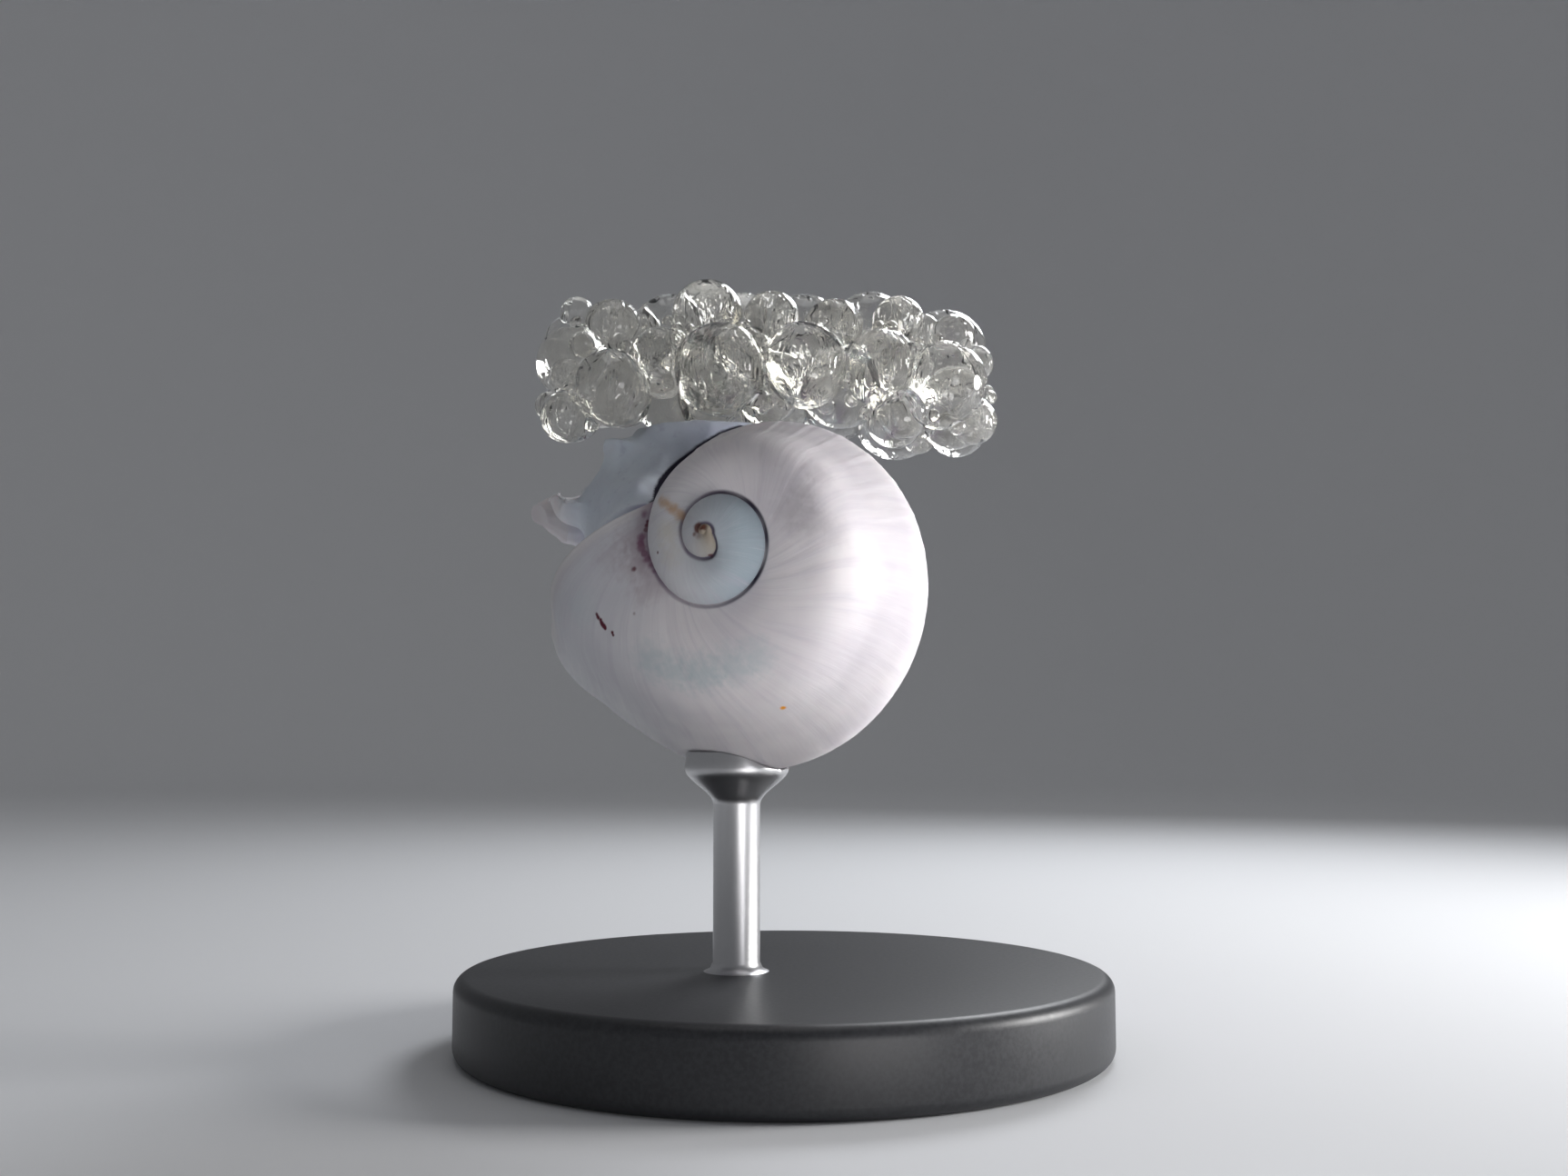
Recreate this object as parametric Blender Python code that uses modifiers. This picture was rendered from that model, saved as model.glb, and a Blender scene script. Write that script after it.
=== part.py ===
"""A violet snail that hangs from its raft of bubbles, at life size, on a small display stand.

Metres, +Z up. The origin is the centre of the stand's underside. The snail hangs as it does in the sea: the
shell's spire points towards -Y, the foot reaches up out of the shell's mouth and holds the raft, and the
head lies behind the foot with its snout to the left (-X).
"""

import math
import random

import bmesh
import bpy
from mathutils import Matrix, Vector

MM = 0.001
GAP = 0.3 * MM
SHARPEST_CORNER = 1.6

# The stand.
BASE_RADIUS = 12.5 * MM
BASE_THICKNESS = 3.0 * MM
BASE_BEVEL = 0.5 * MM
ROD_RADIUS = 0.9 * MM
DISH_RADIUS = 2.0 * MM
DISH_HEIGHT = 1.3 * MM
TURNED_STEPS = 32

# The shell is a spiral whose whorls grow by one factor a turn. A whorl's outline is given in shares of its
# own radius: (distance from the axis, depth below the tip along the axis).
APEX = Vector((-2.84, -8.18, 19.0)) * MM
SPIRE_TURNED_LEFT = math.radians(22.2)
SPIRE_TILTED_UP = math.radians(3.2)
LIP_AZIMUTH = math.radians(146.7)
LIP_RADIUS = 11.2 * MM
GROWTH_PER_TURN = 2.766
TURNS = 3
STEPS_PER_TURN = 36
SUTURE = (0.299, 0.202)
SHOULDER_PULL = (0.714, 0.157)
WIDEST = (1.0, 0.95)
BASE_LOW = (0.298, 1.366)
COLUMELLA_BEND = (0.15, 1.34)
COLUMELLA_END = (0.03, 1.30)
SHOULDER_STEPS = 6
SIDE_STEPS = 4
BASE_STEPS = 6
FLARE = 0.124
FLARE_FROM = math.radians(-70)
FLARE_TO = math.radians(-10)
SINUS = 0.81
SINUS_FROM = math.radians(-80)
LIP_THICKNESS = 0.5 * MM
AXIS_STEPS = 4

# The flesh. The mouth's centre is where its whole outline can be seen from.
MOUTH_CENTRE = (0.62, 0.70)
MANTLE_DEPTH = math.radians(12)
MANTLE_RINGS = 4
MOUTH_FLOOR_REACHES = (0.25, 0.5, 0.78)
MOUTH_POINTS = 36
MOUTH_EASING = 4
FOOT_INSET = 1.2 * MM
SOLE_CENTRE = Vector((-3.0, 1.9, 24.1)) * MM
SOLE_RADII = (3.0 * MM, 3.0 * MM)
NECK_CENTRE = Vector((-3.4, 1.8, 23.3)) * MM
NECK_RADII = (2.5 * MM, 2.4 * MM)
HUMP_CENTRE = Vector((-4.6, 1.7, 22.0)) * MM
HUMP_RADII = (3.25 * MM, 3.0 * MM)
MUCUS_PAD_HEIGHT = 1.3 * MM

# The raft: (x, y, z, radius) in millimetres of the large bubbles at its front, and the sizes of those packed
# in behind them as (bubbles, smallest radius, largest radius).
FRONT_BUBBLES = (
    (-2.54, -0.6, 26.3, 1.87), (-6.80, -0.4, 25.6, 1.55), (-8.60, -0.1, 24.5, 1.05), (-4.95, 0.8, 26.9, 1.50),
    (0.85, -0.5, 26.5, 1.75), (2.00, 0.4, 28.2, 1.20), (-0.95, -1.0, 24.9, 0.50), (3.90, -0.3, 26.4, 1.60),
    (6.30, 0.0, 25.8, 1.80), (4.70, -0.6, 24.6, 1.10), (7.55, 0.3, 24.4, 0.95), (-3.10, 0.7, 28.8, 1.45),
    (-6.90, 0.7, 28.2, 1.25), (4.60, 0.6, 28.5, 1.05), (6.80, 0.8, 27.9, 0.95), (-0.50, 0.9, 28.7, 1.15),
)
PACKED_SIZES = ((33, 1.2, 1.8), (26, 0.5, 0.85))
PACKING_ROUNDS = 160
PACKING_SEED = 11
CLOSEST = 0.87
RAFT_LEFT, RAFT_RIGHT = -10.1, 8.5
RAFT_NEAR, RAFT_FAR = -2.4, 6.6
RAFT_TOP, RAFT_UNDERSIDE = 30.2, 24.4
RAFT_SAG = 0.9
SAG_STARTS = (-8.0, 2.4)
SAG_RUN = 2.4
RAFT_CUTS = (0.35, 4.9)
LEAST_BUBBLE = 0.65
SMALL_BUBBLE = 1.0
FACET_SWELL = 1.04

# Colour, roughness and metallic value of what each node is made of.
SHELL_FINISH = ((0.78, 0.72, 0.78), 0.35, 0.0)
FLESH_FINISH = ((0.42, 0.42, 0.52), 0.3, 0.0)
FILM_FINISH = ((0.92, 0.93, 0.88), 0.05, 0.0)
BASE_FINISH = ((0.06, 0.06, 0.07), 0.5, 0.0)
STEEL_FINISH = ((0.55, 0.55, 0.56), 0.35, 1.0)
SHARP_EDGE = math.radians(40)


def spire_axes():
    """The shell's axis, which points out of the spire, and two directions square to it."""
    level = math.cos(SPIRE_TILTED_UP)
    axis = Vector((
        -math.sin(SPIRE_TURNED_LEFT) * level,
        -math.cos(SPIRE_TURNED_LEFT) * level,
        math.sin(SPIRE_TILTED_UP),
    ))
    across = Vector((0, 0, 1)).cross(axis).normalized()
    return axis, across, axis.cross(across)


AXIS, ACROSS, UPRIGHT = spire_axes()
GROWTH_RATE = math.log(GROWTH_PER_TURN) / math.tau


def smooth_step(value):
    value = min(1.0, max(0.0, value))
    return value * value * (3 - 2 * value)


def shell_point(turn, share):
    """A point of the shell: turn is the angle back from the lip, 0 at the lip and negative behind it."""
    radius, depth = share
    outward = min(1.0, max(0.0, (radius - SUTURE[0]) / (1 - SUTURE[0])))
    flare = 1 + FLARE * outward * smooth_step((turn - FLARE_FROM) / (FLARE_TO - FLARE_FROM))
    ramp = min(1.3, max(0.0, 1 - turn / SINUS_FROM))
    drawn_back = SINUS * math.sin(outward * math.pi / 2) * ramp
    size = LIP_RADIUS * math.exp(GROWTH_RATE * (turn - drawn_back))
    azimuth = LIP_AZIMUTH - turn + drawn_back
    radial = ACROSS * math.cos(azimuth) + UPRIGHT * math.sin(azimuth)
    return APEX + size * (radius * flare * radial - depth * AXIS)


def bezier(points, share):
    """A point on the Bezier curve of these control points."""
    points = [Vector(p) for p in points]
    while len(points) > 1:
        points = [a.lerp(b, share) for a, b in zip(points, points[1:])]
    return tuple(points[0])


def shoulder_shares():
    """From the suture above a whorl to the suture below it, which the next whorl covers."""
    lower = tuple(GROWTH_PER_TURN * x for x in SUTURE)
    return [bezier((SUTURE, SHOULDER_PULL, lower), i / SHOULDER_STEPS) for i in range(SHOULDER_STEPS + 1)]


def base_shares():
    """From the lower suture round the whorl's widest place and its base to the columella."""
    lower = tuple(GROWTH_PER_TURN * x for x in SUTURE)
    side = (lower, (0.87, 0.72), (1.0, 0.80), WIDEST)
    shares = [bezier(side, i / SIDE_STEPS) for i in range(1, SIDE_STEPS + 1)]
    for i in range(1, BASE_STEPS + 1):
        angle = 0.5 * math.pi * i / BASE_STEPS
        shares.append((
            BASE_LOW[0] + (WIDEST[0] - BASE_LOW[0]) * math.cos(angle),
            WIDEST[1] + (BASE_LOW[1] - WIDEST[1]) * math.sin(angle),
        ))
    return shares + [COLUMELLA_BEND, COLUMELLA_END]


def mouth_outline():
    """The mouth's outline in shares of the lip's radius: the lip, the columella, and the whorl inside it."""
    lip = shoulder_shares() + base_shares()
    inner = [(r / GROWTH_PER_TURN, d / GROWTH_PER_TURN) for r, d in reversed(base_shares())]
    low, high = lip[-1][1], inner[0][1]
    axis = [(0.0, low + (high - low) * i / AXIS_STEPS) for i in range(AXIS_STEPS + 1)]
    return lip + axis + inner


def inner_outline(inset):
    """The mouth's outline with its points spread evenly, its corners eased, and drawn in by a length."""
    outline = [Vector(share) for share in mouth_outline()]
    lengths = [0.0]
    for here, there in zip(outline, outline[1:] + outline[:1]):
        lengths.append(lengths[-1] + (there - here).length)
    closed = outline + outline[:1]
    spread = []
    for i in range(MOUTH_POINTS):
        length = lengths[-1] * i / MOUTH_POINTS
        k = max(k for k in range(len(outline)) if lengths[k] <= length)
        part = (length - lengths[k]) / (lengths[k + 1] - lengths[k])
        spread.append(closed[k].lerp(closed[k + 1], part))
    for _ in range(MOUTH_EASING):
        spread = [(before + 2 * here + after) / 4 for before, here, after in in_threes(spread)]
    drawn_in = []
    for before, here, after in in_threes(spread):
        along = (after - before).normalized()
        drawn_in.append(here + Vector((-along.y, along.x)) * inset / LIP_RADIUS)
    return drawn_in


def in_threes(points):
    """Each point of a closed row with the one before it and the one after it."""
    return zip(points[-1:] + points[:-1], points, points[1:] + points[:1])


def mouth_ring(outline, turn, reach=1.0):
    """A ring across the mouth, at an angle back from the lip. Its reach is 0 at the mouth's centre."""
    centre = Vector(MOUTH_CENTRE)
    return [shell_point(turn, centre.lerp(Vector(share), reach)) for share in outline]


def mouth_floor(outline, turn):
    """Rings from the mouth's centre outwards, which follow its saddle shape."""
    return [mouth_ring(outline, turn, reach) for reach in MOUTH_FLOOR_REACHES]


def new_object(name, mesh, collection=None):
    """Puts a mesh in the snail's collection, or in another one, under a name."""
    thing = bpy.data.objects.new(name, mesh)
    (collection or snail).objects.link(thing)
    return thing


def new_cutter(name, mesh):
    """A body that only cuts others. It goes in the cutters' collection and doesn't show."""
    thing = new_object(name, mesh, cutters)
    thing.hide_render = True
    thing.display_type = "WIRE"
    return thing


def finish(thing, colour, roughness, metallic):
    """Gives a node its own material and smooth shading, with its sharp edges kept."""
    material = bpy.data.materials.new(thing.name)
    material.use_nodes = True
    shader = material.node_tree.nodes["Principled BSDF"]
    shader.inputs["Base Color"].default_value = (*colour, 1.0)
    shader.inputs["Roughness"].default_value = roughness
    shader.inputs["Metallic"].default_value = metallic
    thing.data.materials.clear()
    thing.data.materials.append(material)
    thing.data.shade_smooth()
    thing.data.set_sharp_from_angle(angle=SHARP_EDGE)


def mesh_from(name, build):
    """A mesh object whose bmesh is filled by build(bm), with its faces turned outwards."""
    bm = bmesh.new()
    build(bm)
    bmesh.ops.triangulate(bm, faces=bm.faces[:])
    bmesh.ops.recalc_face_normals(bm, faces=bm.faces[:])
    mesh = bpy.data.meshes.new(name)
    bm.to_mesh(mesh)
    bm.free()
    return new_object(name, mesh)


def middle_of(points):
    return sum(points, Vector()) / len(points)


def bridge(bm, row, following):
    """Faces between two closed rows of as many points."""
    count = len(row)
    for i in range(count):
        j = (i + 1) % count
        bm.faces.new((row[i], row[j], following[j], following[i]))


def fan(bm, row, place):
    """Closes a row with faces to one point."""
    middle = bm.verts.new(place)
    for here, there in zip(row, row[1:] + row[:1]):
        bm.faces.new((here, there, middle))


def rings_into(bm, rings, first_middle=None, last_middle=None):
    """Skins rings of equal length, and closes each end with a fan to its middle."""
    rows = [[bm.verts.new(p) for p in ring] for ring in rings]
    for row, following in zip(rows, rows[1:]):
        bridge(bm, row, following)
    fan(bm, rows[0], first_middle or middle_of(rings[0]))
    fan(bm, rows[-1], last_middle or middle_of(rings[-1]))


def curved(values, share):
    """A value on the smooth curve through evenly spaced values, at a share of its length."""
    last = len(values) - 1
    i = min(int(share * last), last - 1)
    part = share * last - i
    before, after = values[max(i - 1, 0)], values[min(i + 2, last)]
    a, b = values[i], values[i + 1]
    return 0.5 * (
        2 * a
        + (b - before) * part
        + (2 * before - 5 * a + 4 * b - after) * part**2
        + (3 * a - before - 3 * b + after) * part**3
    )


def tube_rings(stations, rings, sides, cup):
    """Rings along a smooth path. A station is (x, y, z, half width, half thickness) in millimetres."""
    columns = list(zip(*stations))
    centres = [Vector(curved(c, i / (rings - 1)) for c in columns[:3]) * MM for i in range(rings)]
    made = []
    for i, centre in enumerate(centres):
        forward = (centres[min(i + 1, rings - 1)] - centres[max(i - 1, 0)]).normalized()
        side = forward.cross(Vector((0, 0, 1))).normalized()
        lift = side.cross(forward)
        wide, thick = (curved(c, i / (rings - 1)) * MM for c in columns[3:5])
        angles = [math.tau * j / sides for j in range(sides)]
        ring = []
        for a in angles:
            raised = thick * math.sin(a) + cup * wide * math.cos(a) ** 2
            ring.append(centre + side * wide * math.cos(a) + lift * raised)
        made.append(ring)
    return made


def tube(name, stations, rings=8, sides=12, cup=0.0):
    """A closed body along a smooth path, with rounded ends. With a cup, its sides curl upwards."""
    made = tube_rings(stations, rings, sides, cup)
    first, last = middle_of(made[0]), middle_of(made[-1])
    onwards = (last - middle_of(made[-2])).normalized()
    backwards = (first - middle_of(made[1])).normalized()
    cap = [last.lerp(p, 0.62) + onwards * (made[-1][0] - last).length * 0.45 for p in made[-1]]
    root = [first.lerp(p, 0.7) + backwards * (made[0][0] - first).length * 0.4 for p in made[0]]
    return mesh_from(name, lambda bm: rings_into(bm, [root, *made, cap]))


def apply_boolean(thing, other, operation, solver="MANIFOLD"):
    """Joins or cuts a mesh with another mesh or a collection, and keeps the result."""
    modifier = thing.modifiers.new("boolean", "BOOLEAN")
    modifier.operation = operation
    modifier.solver = solver
    if isinstance(other, bpy.types.Collection):
        modifier.operand_type = "COLLECTION"
        modifier.collection = other
    else:
        modifier.object = other
    graph = bpy.context.evaluated_depsgraph_get()
    mesh = bpy.data.meshes.new_from_object(thing.evaluated_get(graph))
    thing.modifiers.remove(modifier)
    thing.data = mesh
    keep_largest(thing)


def keep_largest(thing):
    """Keeps a mesh's largest closed surface."""
    bm = bmesh.new()
    bm.from_mesh(thing.data)
    bmesh.ops.remove_doubles(bm, verts=bm.verts[:], dist=1e-7)
    left = set(bm.verts)
    groups = []
    while left:
        group, edge = set(), [left.pop()]
        while edge:
            vertex = edge.pop()
            group.add(vertex)
            near = [e.other_vert(vertex) for e in vertex.link_edges]
            fresh = [v for v in near if v in left]
            left.difference_update(fresh)
            edge.extend(fresh)
        groups.append(group)
    largest = max(groups, key=lambda group: size_of([v.co for v in group]))
    loose = [v for group in groups if group is not largest for v in group]
    bmesh.ops.delete(bm, geom=loose, context="VERTS")
    bmesh.ops.triangulate(bm, faces=bm.faces[:])
    bmesh.ops.recalc_face_normals(bm, faces=bm.faces[:])
    bm.to_mesh(thing.data)
    bm.free()


def size_of(points):
    """The diagonal of the box round some points."""
    low = Vector(min(p[i] for p in points) for i in range(3))
    high = Vector(max(p[i] for p in points) for i in range(3))
    return (high - low).length


def grown_copy(thing, distance):
    """A copy of a closed mesh whose surface is moved outwards, to cut its neighbours clear of it."""
    bm = bmesh.new()
    bm.from_mesh(thing.data)
    bm.normal_update()
    moves = [v.normal * distance * min(v.calc_shell_factor(), SHARPEST_CORNER) for v in bm.verts]
    for vertex, move in zip(bm.verts, moves):
        vertex.co += move
    mesh = thing.data.copy()
    bm.to_mesh(mesh)
    bm.free()
    return new_cutter(thing.name + "_clearance", mesh)


def cut_clear(thing, *neighbours):
    """Cuts a body clear of what it grows from, with the gap that touching pieces keep."""
    for neighbour in neighbours:
        cutter = grown_copy(neighbour, GAP)
        apply_boolean(thing, cutter, "DIFFERENCE")
        bpy.data.objects.remove(cutter)


def union_of(name, pieces):
    """One node made of several overlapping closed pieces."""
    rest = bpy.data.collections.new(name + "_pieces")
    bpy.context.scene.collection.children.link(rest)
    for piece in pieces[1:]:
        snail.objects.unlink(piece)
        rest.objects.link(piece)
    apply_boolean(pieces[0], rest, "UNION")
    for piece in pieces[1:]:
        bpy.data.objects.remove(piece)
    bpy.data.collections.remove(rest)
    pieces[0].name = name
    return pieces[0]


def shell():
    """The whole shell: spire, body whorl and lip, with its mouth closed."""
    total = TURNS * STEPS_PER_TURN
    step = math.tau / STEPS_PER_TURN
    shoulder, base = shoulder_shares(), base_shares()

    def build(bm):
        rows = []
        for i in range(total + 1):
            turn = (i - total) * step
            shares = flattened(shoulder, 1 - 2 * i / STEPS_PER_TURN)
            shares += base if i >= total - STEPS_PER_TURN else []
            start = rows[i - STEPS_PER_TURN][SHOULDER_STEPS] if i >= STEPS_PER_TURN else None
            row = [start or bm.verts.new(shell_point(turn, shares[0]))]
            row += [bm.verts.new(shell_point(turn, share)) for share in shares[1:]]
            rows.append(row)
        for row, following in zip(rows, rows[1:]):
            for j in range(min(len(row), len(following)) - 1):
                bm.faces.new((row[j], row[j + 1], following[j + 1], following[j]))
        close_tip(bm, rows)
        axis = close_columella(bm, rows[-STEPS_PER_TURN - 1:])
        inner = rows[total - STEPS_PER_TURN][SHOULDER_STEPS + 1:]
        outline = rows[-1] + axis + inner[::-1]
        for ring in mouth_floor(mouth_outline(), 0.0)[::-1]:
            following = [bm.verts.new(p) for p in ring]
            bridge(bm, outline, following)
            outline = following
        fan(bm, outline, shell_point(0.0, MOUTH_CENTRE))

    return mesh_from("shell", build)


def flattened(shares, amount):
    """The shoulder's shares drawn towards the straight line between its two sutures."""
    amount = max(0.0, amount)
    first, last = Vector(shares[0]), Vector(shares[-1])
    line = [first.lerp(last, i / (len(shares) - 1)) for i in range(len(shares))]
    return [tuple(Vector(share).lerp(flat, amount)) for share, flat in zip(shares, line)]


def close_tip(bm, rows):
    """Closes the first turn with faces to the shell's tip. The first row lies on a line through it."""
    tip = bm.verts.new(APEX)
    for i in range(STEPS_PER_TURN - 1):
        bm.faces.new((tip, rows[i][0], rows[i + 1][0]))
    last = rows[STEPS_PER_TURN - 1][0]
    edge = [tip, *rows[0]]
    for here, there in zip(edge, edge[1:]):
        bm.faces.new((last, here, there))


def close_columella(bm, last_turn):
    """Closes the last whorl's inner edge along the axis. Returns the axis points, from the mouth inwards."""
    ends = [row[-1] for row in last_turn]
    low, high = COLUMELLA_END[1], COLUMELLA_END[1] / GROWTH_PER_TURN
    axis = []
    for i in range(AXIS_STEPS + 1):
        depth = low + (high - low) * i / AXIS_STEPS
        axis.append(bm.verts.new(APEX - AXIS * LIP_RADIUS * depth))
    span = STEPS_PER_TURN // AXIS_STEPS
    for g in range(AXIS_STEPS):
        near, far = axis[AXIS_STEPS - g], axis[AXIS_STEPS - g - 1]
        for i in range(g * span, (g + 1) * span):
            bm.faces.new((ends[i], ends[i + 1], near))
        bm.faces.new((near, ends[(g + 1) * span], far))
    return axis


def mouth_direction():
    """The way the body leaves the shell's mouth."""
    ahead = shell_point(math.radians(4), MOUTH_CENTRE)
    return (ahead - shell_point(0.0, MOUTH_CENTRE)).normalized()


def mouth_plug(name, inset, behind=0.0, ahead=0.0):
    """A body of the mouth's shape, with its two ends moved apart by the lengths behind and ahead."""
    away, outline = mouth_direction(), inner_outline(inset)
    turns = [MANTLE_DEPTH * (i / (MANTLE_RINGS - 1) - 1) for i in range(MANTLE_RINGS)]
    shifts = [-away * behind] + [Vector()] * (MANTLE_RINGS - 2) + [away * ahead]
    first = [moved(ring, shifts[0]) for ring in mouth_floor(outline, turns[0])]
    sides = [moved(mouth_ring(outline, turn), shift) for turn, shift in zip(turns, shifts)]
    last = [moved(ring, shifts[-1]) for ring in mouth_floor(outline, turns[-1])]
    ends = [shell_point(turns[i], MOUTH_CENTRE) + shifts[i] for i in (0, -1)]
    return mesh_from(name, lambda bm: rings_into(bm, first + sides + last[::-1], *ends))


def moved(ring, shift):
    return [place + shift for place in ring]


def mantle(shell_node):
    """The collar of flesh in the shell's mouth, which is hollowed to take it inside a thin lip."""
    hollow = mouth_plug("hollow", LIP_THICKNESS, behind=GAP, ahead=4 * LIP_THICKNESS)
    apply_boolean(shell_node, hollow, "DIFFERENCE")
    bpy.data.objects.remove(hollow)
    return mouth_plug("mantle", LIP_THICKNESS + GAP)


def matched_ellipse(centre, radii, ring):
    """An ellipse, level, with one point for each of a ring's points, in the same directions."""
    middle = sum(ring, Vector()) / len(ring)
    lengths = [0.0]
    for a, b in zip(ring, ring[1:] + ring[:1]):
        lengths.append(lengths[-1] + (b - a).length)
    first = ring[0] - middle
    start = math.atan2(first.y, first.x)
    quarter = ring[len(ring) // 4] - middle
    sense = 1 if first.x * quarter.y - first.y * quarter.x > 0 else -1
    places = []
    for length in lengths[:-1]:
        angle = start + sense * math.tau * length / lengths[-1]
        places.append(centre + Vector((radii[0] * math.cos(angle), radii[1] * math.sin(angle), 0)))
    return places


def foot():
    """The foot: from the shell's mouth over a hump to a neck, and out to the flat sole under the raft."""
    away, outline = mouth_direction(), inner_outline(FOOT_INSET)
    start = shell_point(0.0, MOUTH_CENTRE) + away * GAP
    floor = [moved(ring, away * GAP) for ring in mouth_floor(outline, 0.0)]
    mouth = moved(mouth_ring(outline, 0.0), away * GAP)
    hump = matched_ellipse(HUMP_CENTRE, HUMP_RADII, mouth)
    neck = matched_ellipse(NECK_CENTRE, NECK_RADII, mouth)
    sole = matched_ellipse(SOLE_CENTRE, SOLE_RADII, mouth)
    low = [a.lerp(b, 0.4) + away * 0.4 * MM for a, b in zip(mouth, hump)]
    round_off = [a.lerp(b, 0.3) + Vector((0, 0, 0.35 * MM)) for a, b in zip(hump, neck)]
    rings = [*floor, mouth, low, hump, round_off, neck, sole]
    return mesh_from("foot", lambda bm: rings_into(bm, rings, start))


def head():
    """The head, behind the foot."""
    stations = [(-3.4, 3.0, 21.6, 2.0, 1.7), (-4.2, 5.0, 21.6, 2.15, 1.9), (-5.4, 6.4, 21.5, 1.95, 1.75)]
    return tube("head", stations, rings=6, sides=14)


def snout():
    """The long snout, with its blunt mouth end a little wider."""
    stations = [(-4.8, 6.1, 21.6, 1.5, 1.4), (-7.0, 7.0, 21.5, 1.3, 1.25), (-8.9, 6.9, 21.2, 1.2, 1.1),
                (-10.0, 6.4, 21.0, 1.35, 1.2)]
    return tube("snout", stations, rings=8, sides=12)


def tentacle(name, root, fork, long_tip, short_tip):
    """A forked tentacle: a short stem with a long branch and a short one."""
    stem = tube(name, [(*root, 0.55, 0.5), (*middle(root, fork), 0.48, 0.45), (*fork, 0.42, 0.4)], 5, 8)
    long_branch = tube(name + "_long", [(*fork, 0.36, 0.36), (*middle(fork, long_tip, 0.25), 0.31, 0.3),
                                        (*long_tip, 0.2, 0.2)], 6, 8)
    short_branch = tube(name + "_short", [(*fork, 0.34, 0.34), (*middle(fork, short_tip, 0.2), 0.28, 0.28),
                                          (*short_tip, 0.2, 0.2)], 5, 8)
    return union_of(name, [stem, long_branch, short_branch])


def middle(start, end, rise=0.0):
    """The point half way between two points, lifted a little."""
    between = Vector(start).lerp(Vector(end), 0.5)
    return between.x, between.y, between.z + rise


def propodium():
    """The spoon-shaped front lobe of the foot, which wraps new bubbles and adds them to the raft."""
    stations = [(-4.4, 1.3, 22.9, 1.4, 0.5), (-5.9, 1.2, 22.95, 1.6, 0.38), (-6.9, 1.1, 23.1, 1.5, 0.32),
                (-7.5, 1.0, 23.3, 1.0, 0.27)]
    return tube("propodium", stations, rings=8, sides=16, cup=0.28)


def epipodium(name, stations):
    """A thin side fold of the foot."""
    return tube(name, stations, rings=8, sides=16, cup=0.22)


def ball(name, place, radius):
    """One bubble in millimetres, as a faceted ball whose faces lie about as far out as the round surface."""
    bm = bmesh.new()
    detail = 1 if radius < SMALL_BUBBLE else 2
    centre = Matrix.Translation(Vector(place) * MM)
    bmesh.ops.create_icosphere(bm, subdivisions=detail, radius=FACET_SWELL * radius * MM, matrix=centre)
    mesh = bpy.data.meshes.new(name)
    bm.to_mesh(mesh)
    bm.free()
    return new_object(name, mesh)


def raft_underside(x):
    """The height of the raft's underside, which hangs lower at both ends. All in millimetres."""
    left = smooth_step((SAG_STARTS[0] - x) / SAG_RUN)
    right = smooth_step((x - SAG_STARTS[1]) / SAG_RUN)
    return RAFT_UNDERSIDE - RAFT_SAG * max(left, right)


def packed_bubbles():
    """[x, y, z, radius] of every bubble in millimetres: those listed, and those packed in behind them."""
    draw = random.Random(PACKING_SEED)
    placed = [list(bubble) for bubble in FRONT_BUBBLES]
    for count, smallest, largest in PACKED_SIZES:
        for _ in range(count):
            radius = draw.uniform(smallest, largest)
            x = draw.uniform(RAFT_LEFT + 2, RAFT_RIGHT - 2)
            placed.append([x, draw.uniform(1.5, 5.1), draw.uniform(25.5, 28.6), radius])
    listed = len(FRONT_BUBBLES)
    for _ in range(PACKING_ROUNDS):
        for i in range(listed, len(placed)):
            for j in range(i):
                push_apart(placed[i], placed[j], j < listed)
        for bubble in placed[listed:]:
            keep_in_raft(bubble)
    return placed


def push_apart(one, other, other_stays):
    """Moves a bubble and its neighbour apart, the smaller one further, till they only press together."""
    apart = [one[k] - other[k] for k in range(3)]
    distance = math.sqrt(sum(step * step for step in apart)) or 1e-6
    short = CLOSEST * (one[3] + other[3]) - distance
    if short <= 0:
        return
    share = 1.0 if other_stays else other[3] ** 2 / (one[3] ** 2 + other[3] ** 2)
    for k in range(3):
        step = apart[k] / distance * short
        one[k] += step * share
        other[k] -= step * (1 - share)


def keep_in_raft(bubble):
    """Draws a bubble in a little, and keeps it in the raft's rounded box."""
    x, y, z, radius = bubble
    end = abs(2 * x - RAFT_LEFT - RAFT_RIGHT) / (RAFT_RIGHT - RAFT_LEFT)
    middle_y = (RAFT_NEAR + RAFT_FAR) / 2
    half = (RAFT_FAR - RAFT_NEAR) / 2 * (1 - 0.55 * end**3)
    top = RAFT_TOP - 1.6 * max(0.0, end - 0.5)
    bubble[0] = min(max(x, RAFT_LEFT + radius), RAFT_RIGHT - radius)
    bubble[1] = min(max(y + 0.01 * (middle_y - y), middle_y - half + radius), middle_y + half - radius)
    bubble[2] = max(min(z + 0.012 * (26.6 - z), top - radius), raft_underside(x) + radius)


def raft():
    """The raft in three lengths. The length on the foot has the pad of mucus that holds the sole."""
    bubbles = [bubble for bubble in packed_bubbles() if bubble[3] > LEAST_BUBBLE]
    beyond = 5.0
    edges = [RAFT_LEFT - beyond, *RAFT_CUTS, RAFT_RIGHT + beyond]
    made = []
    for name, left, right in zip(("raft_on_foot", "raft_middle", "raft_old_end"), edges, edges[1:]):
        pieces = []
        for i, (x, y, z, radius) in enumerate(bubbles):
            if left - radius < x < right + radius:
                pieces.append(ball(f"{name}_{i}", (x, y, z), radius))
        if name == "raft_on_foot":
            pieces.append(mucus_pad())
        node = union_of(name, pieces)
        trim(node, left * MM, 1)
        trim(node, right * MM, -1)
        made.append(node)
    return made


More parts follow.
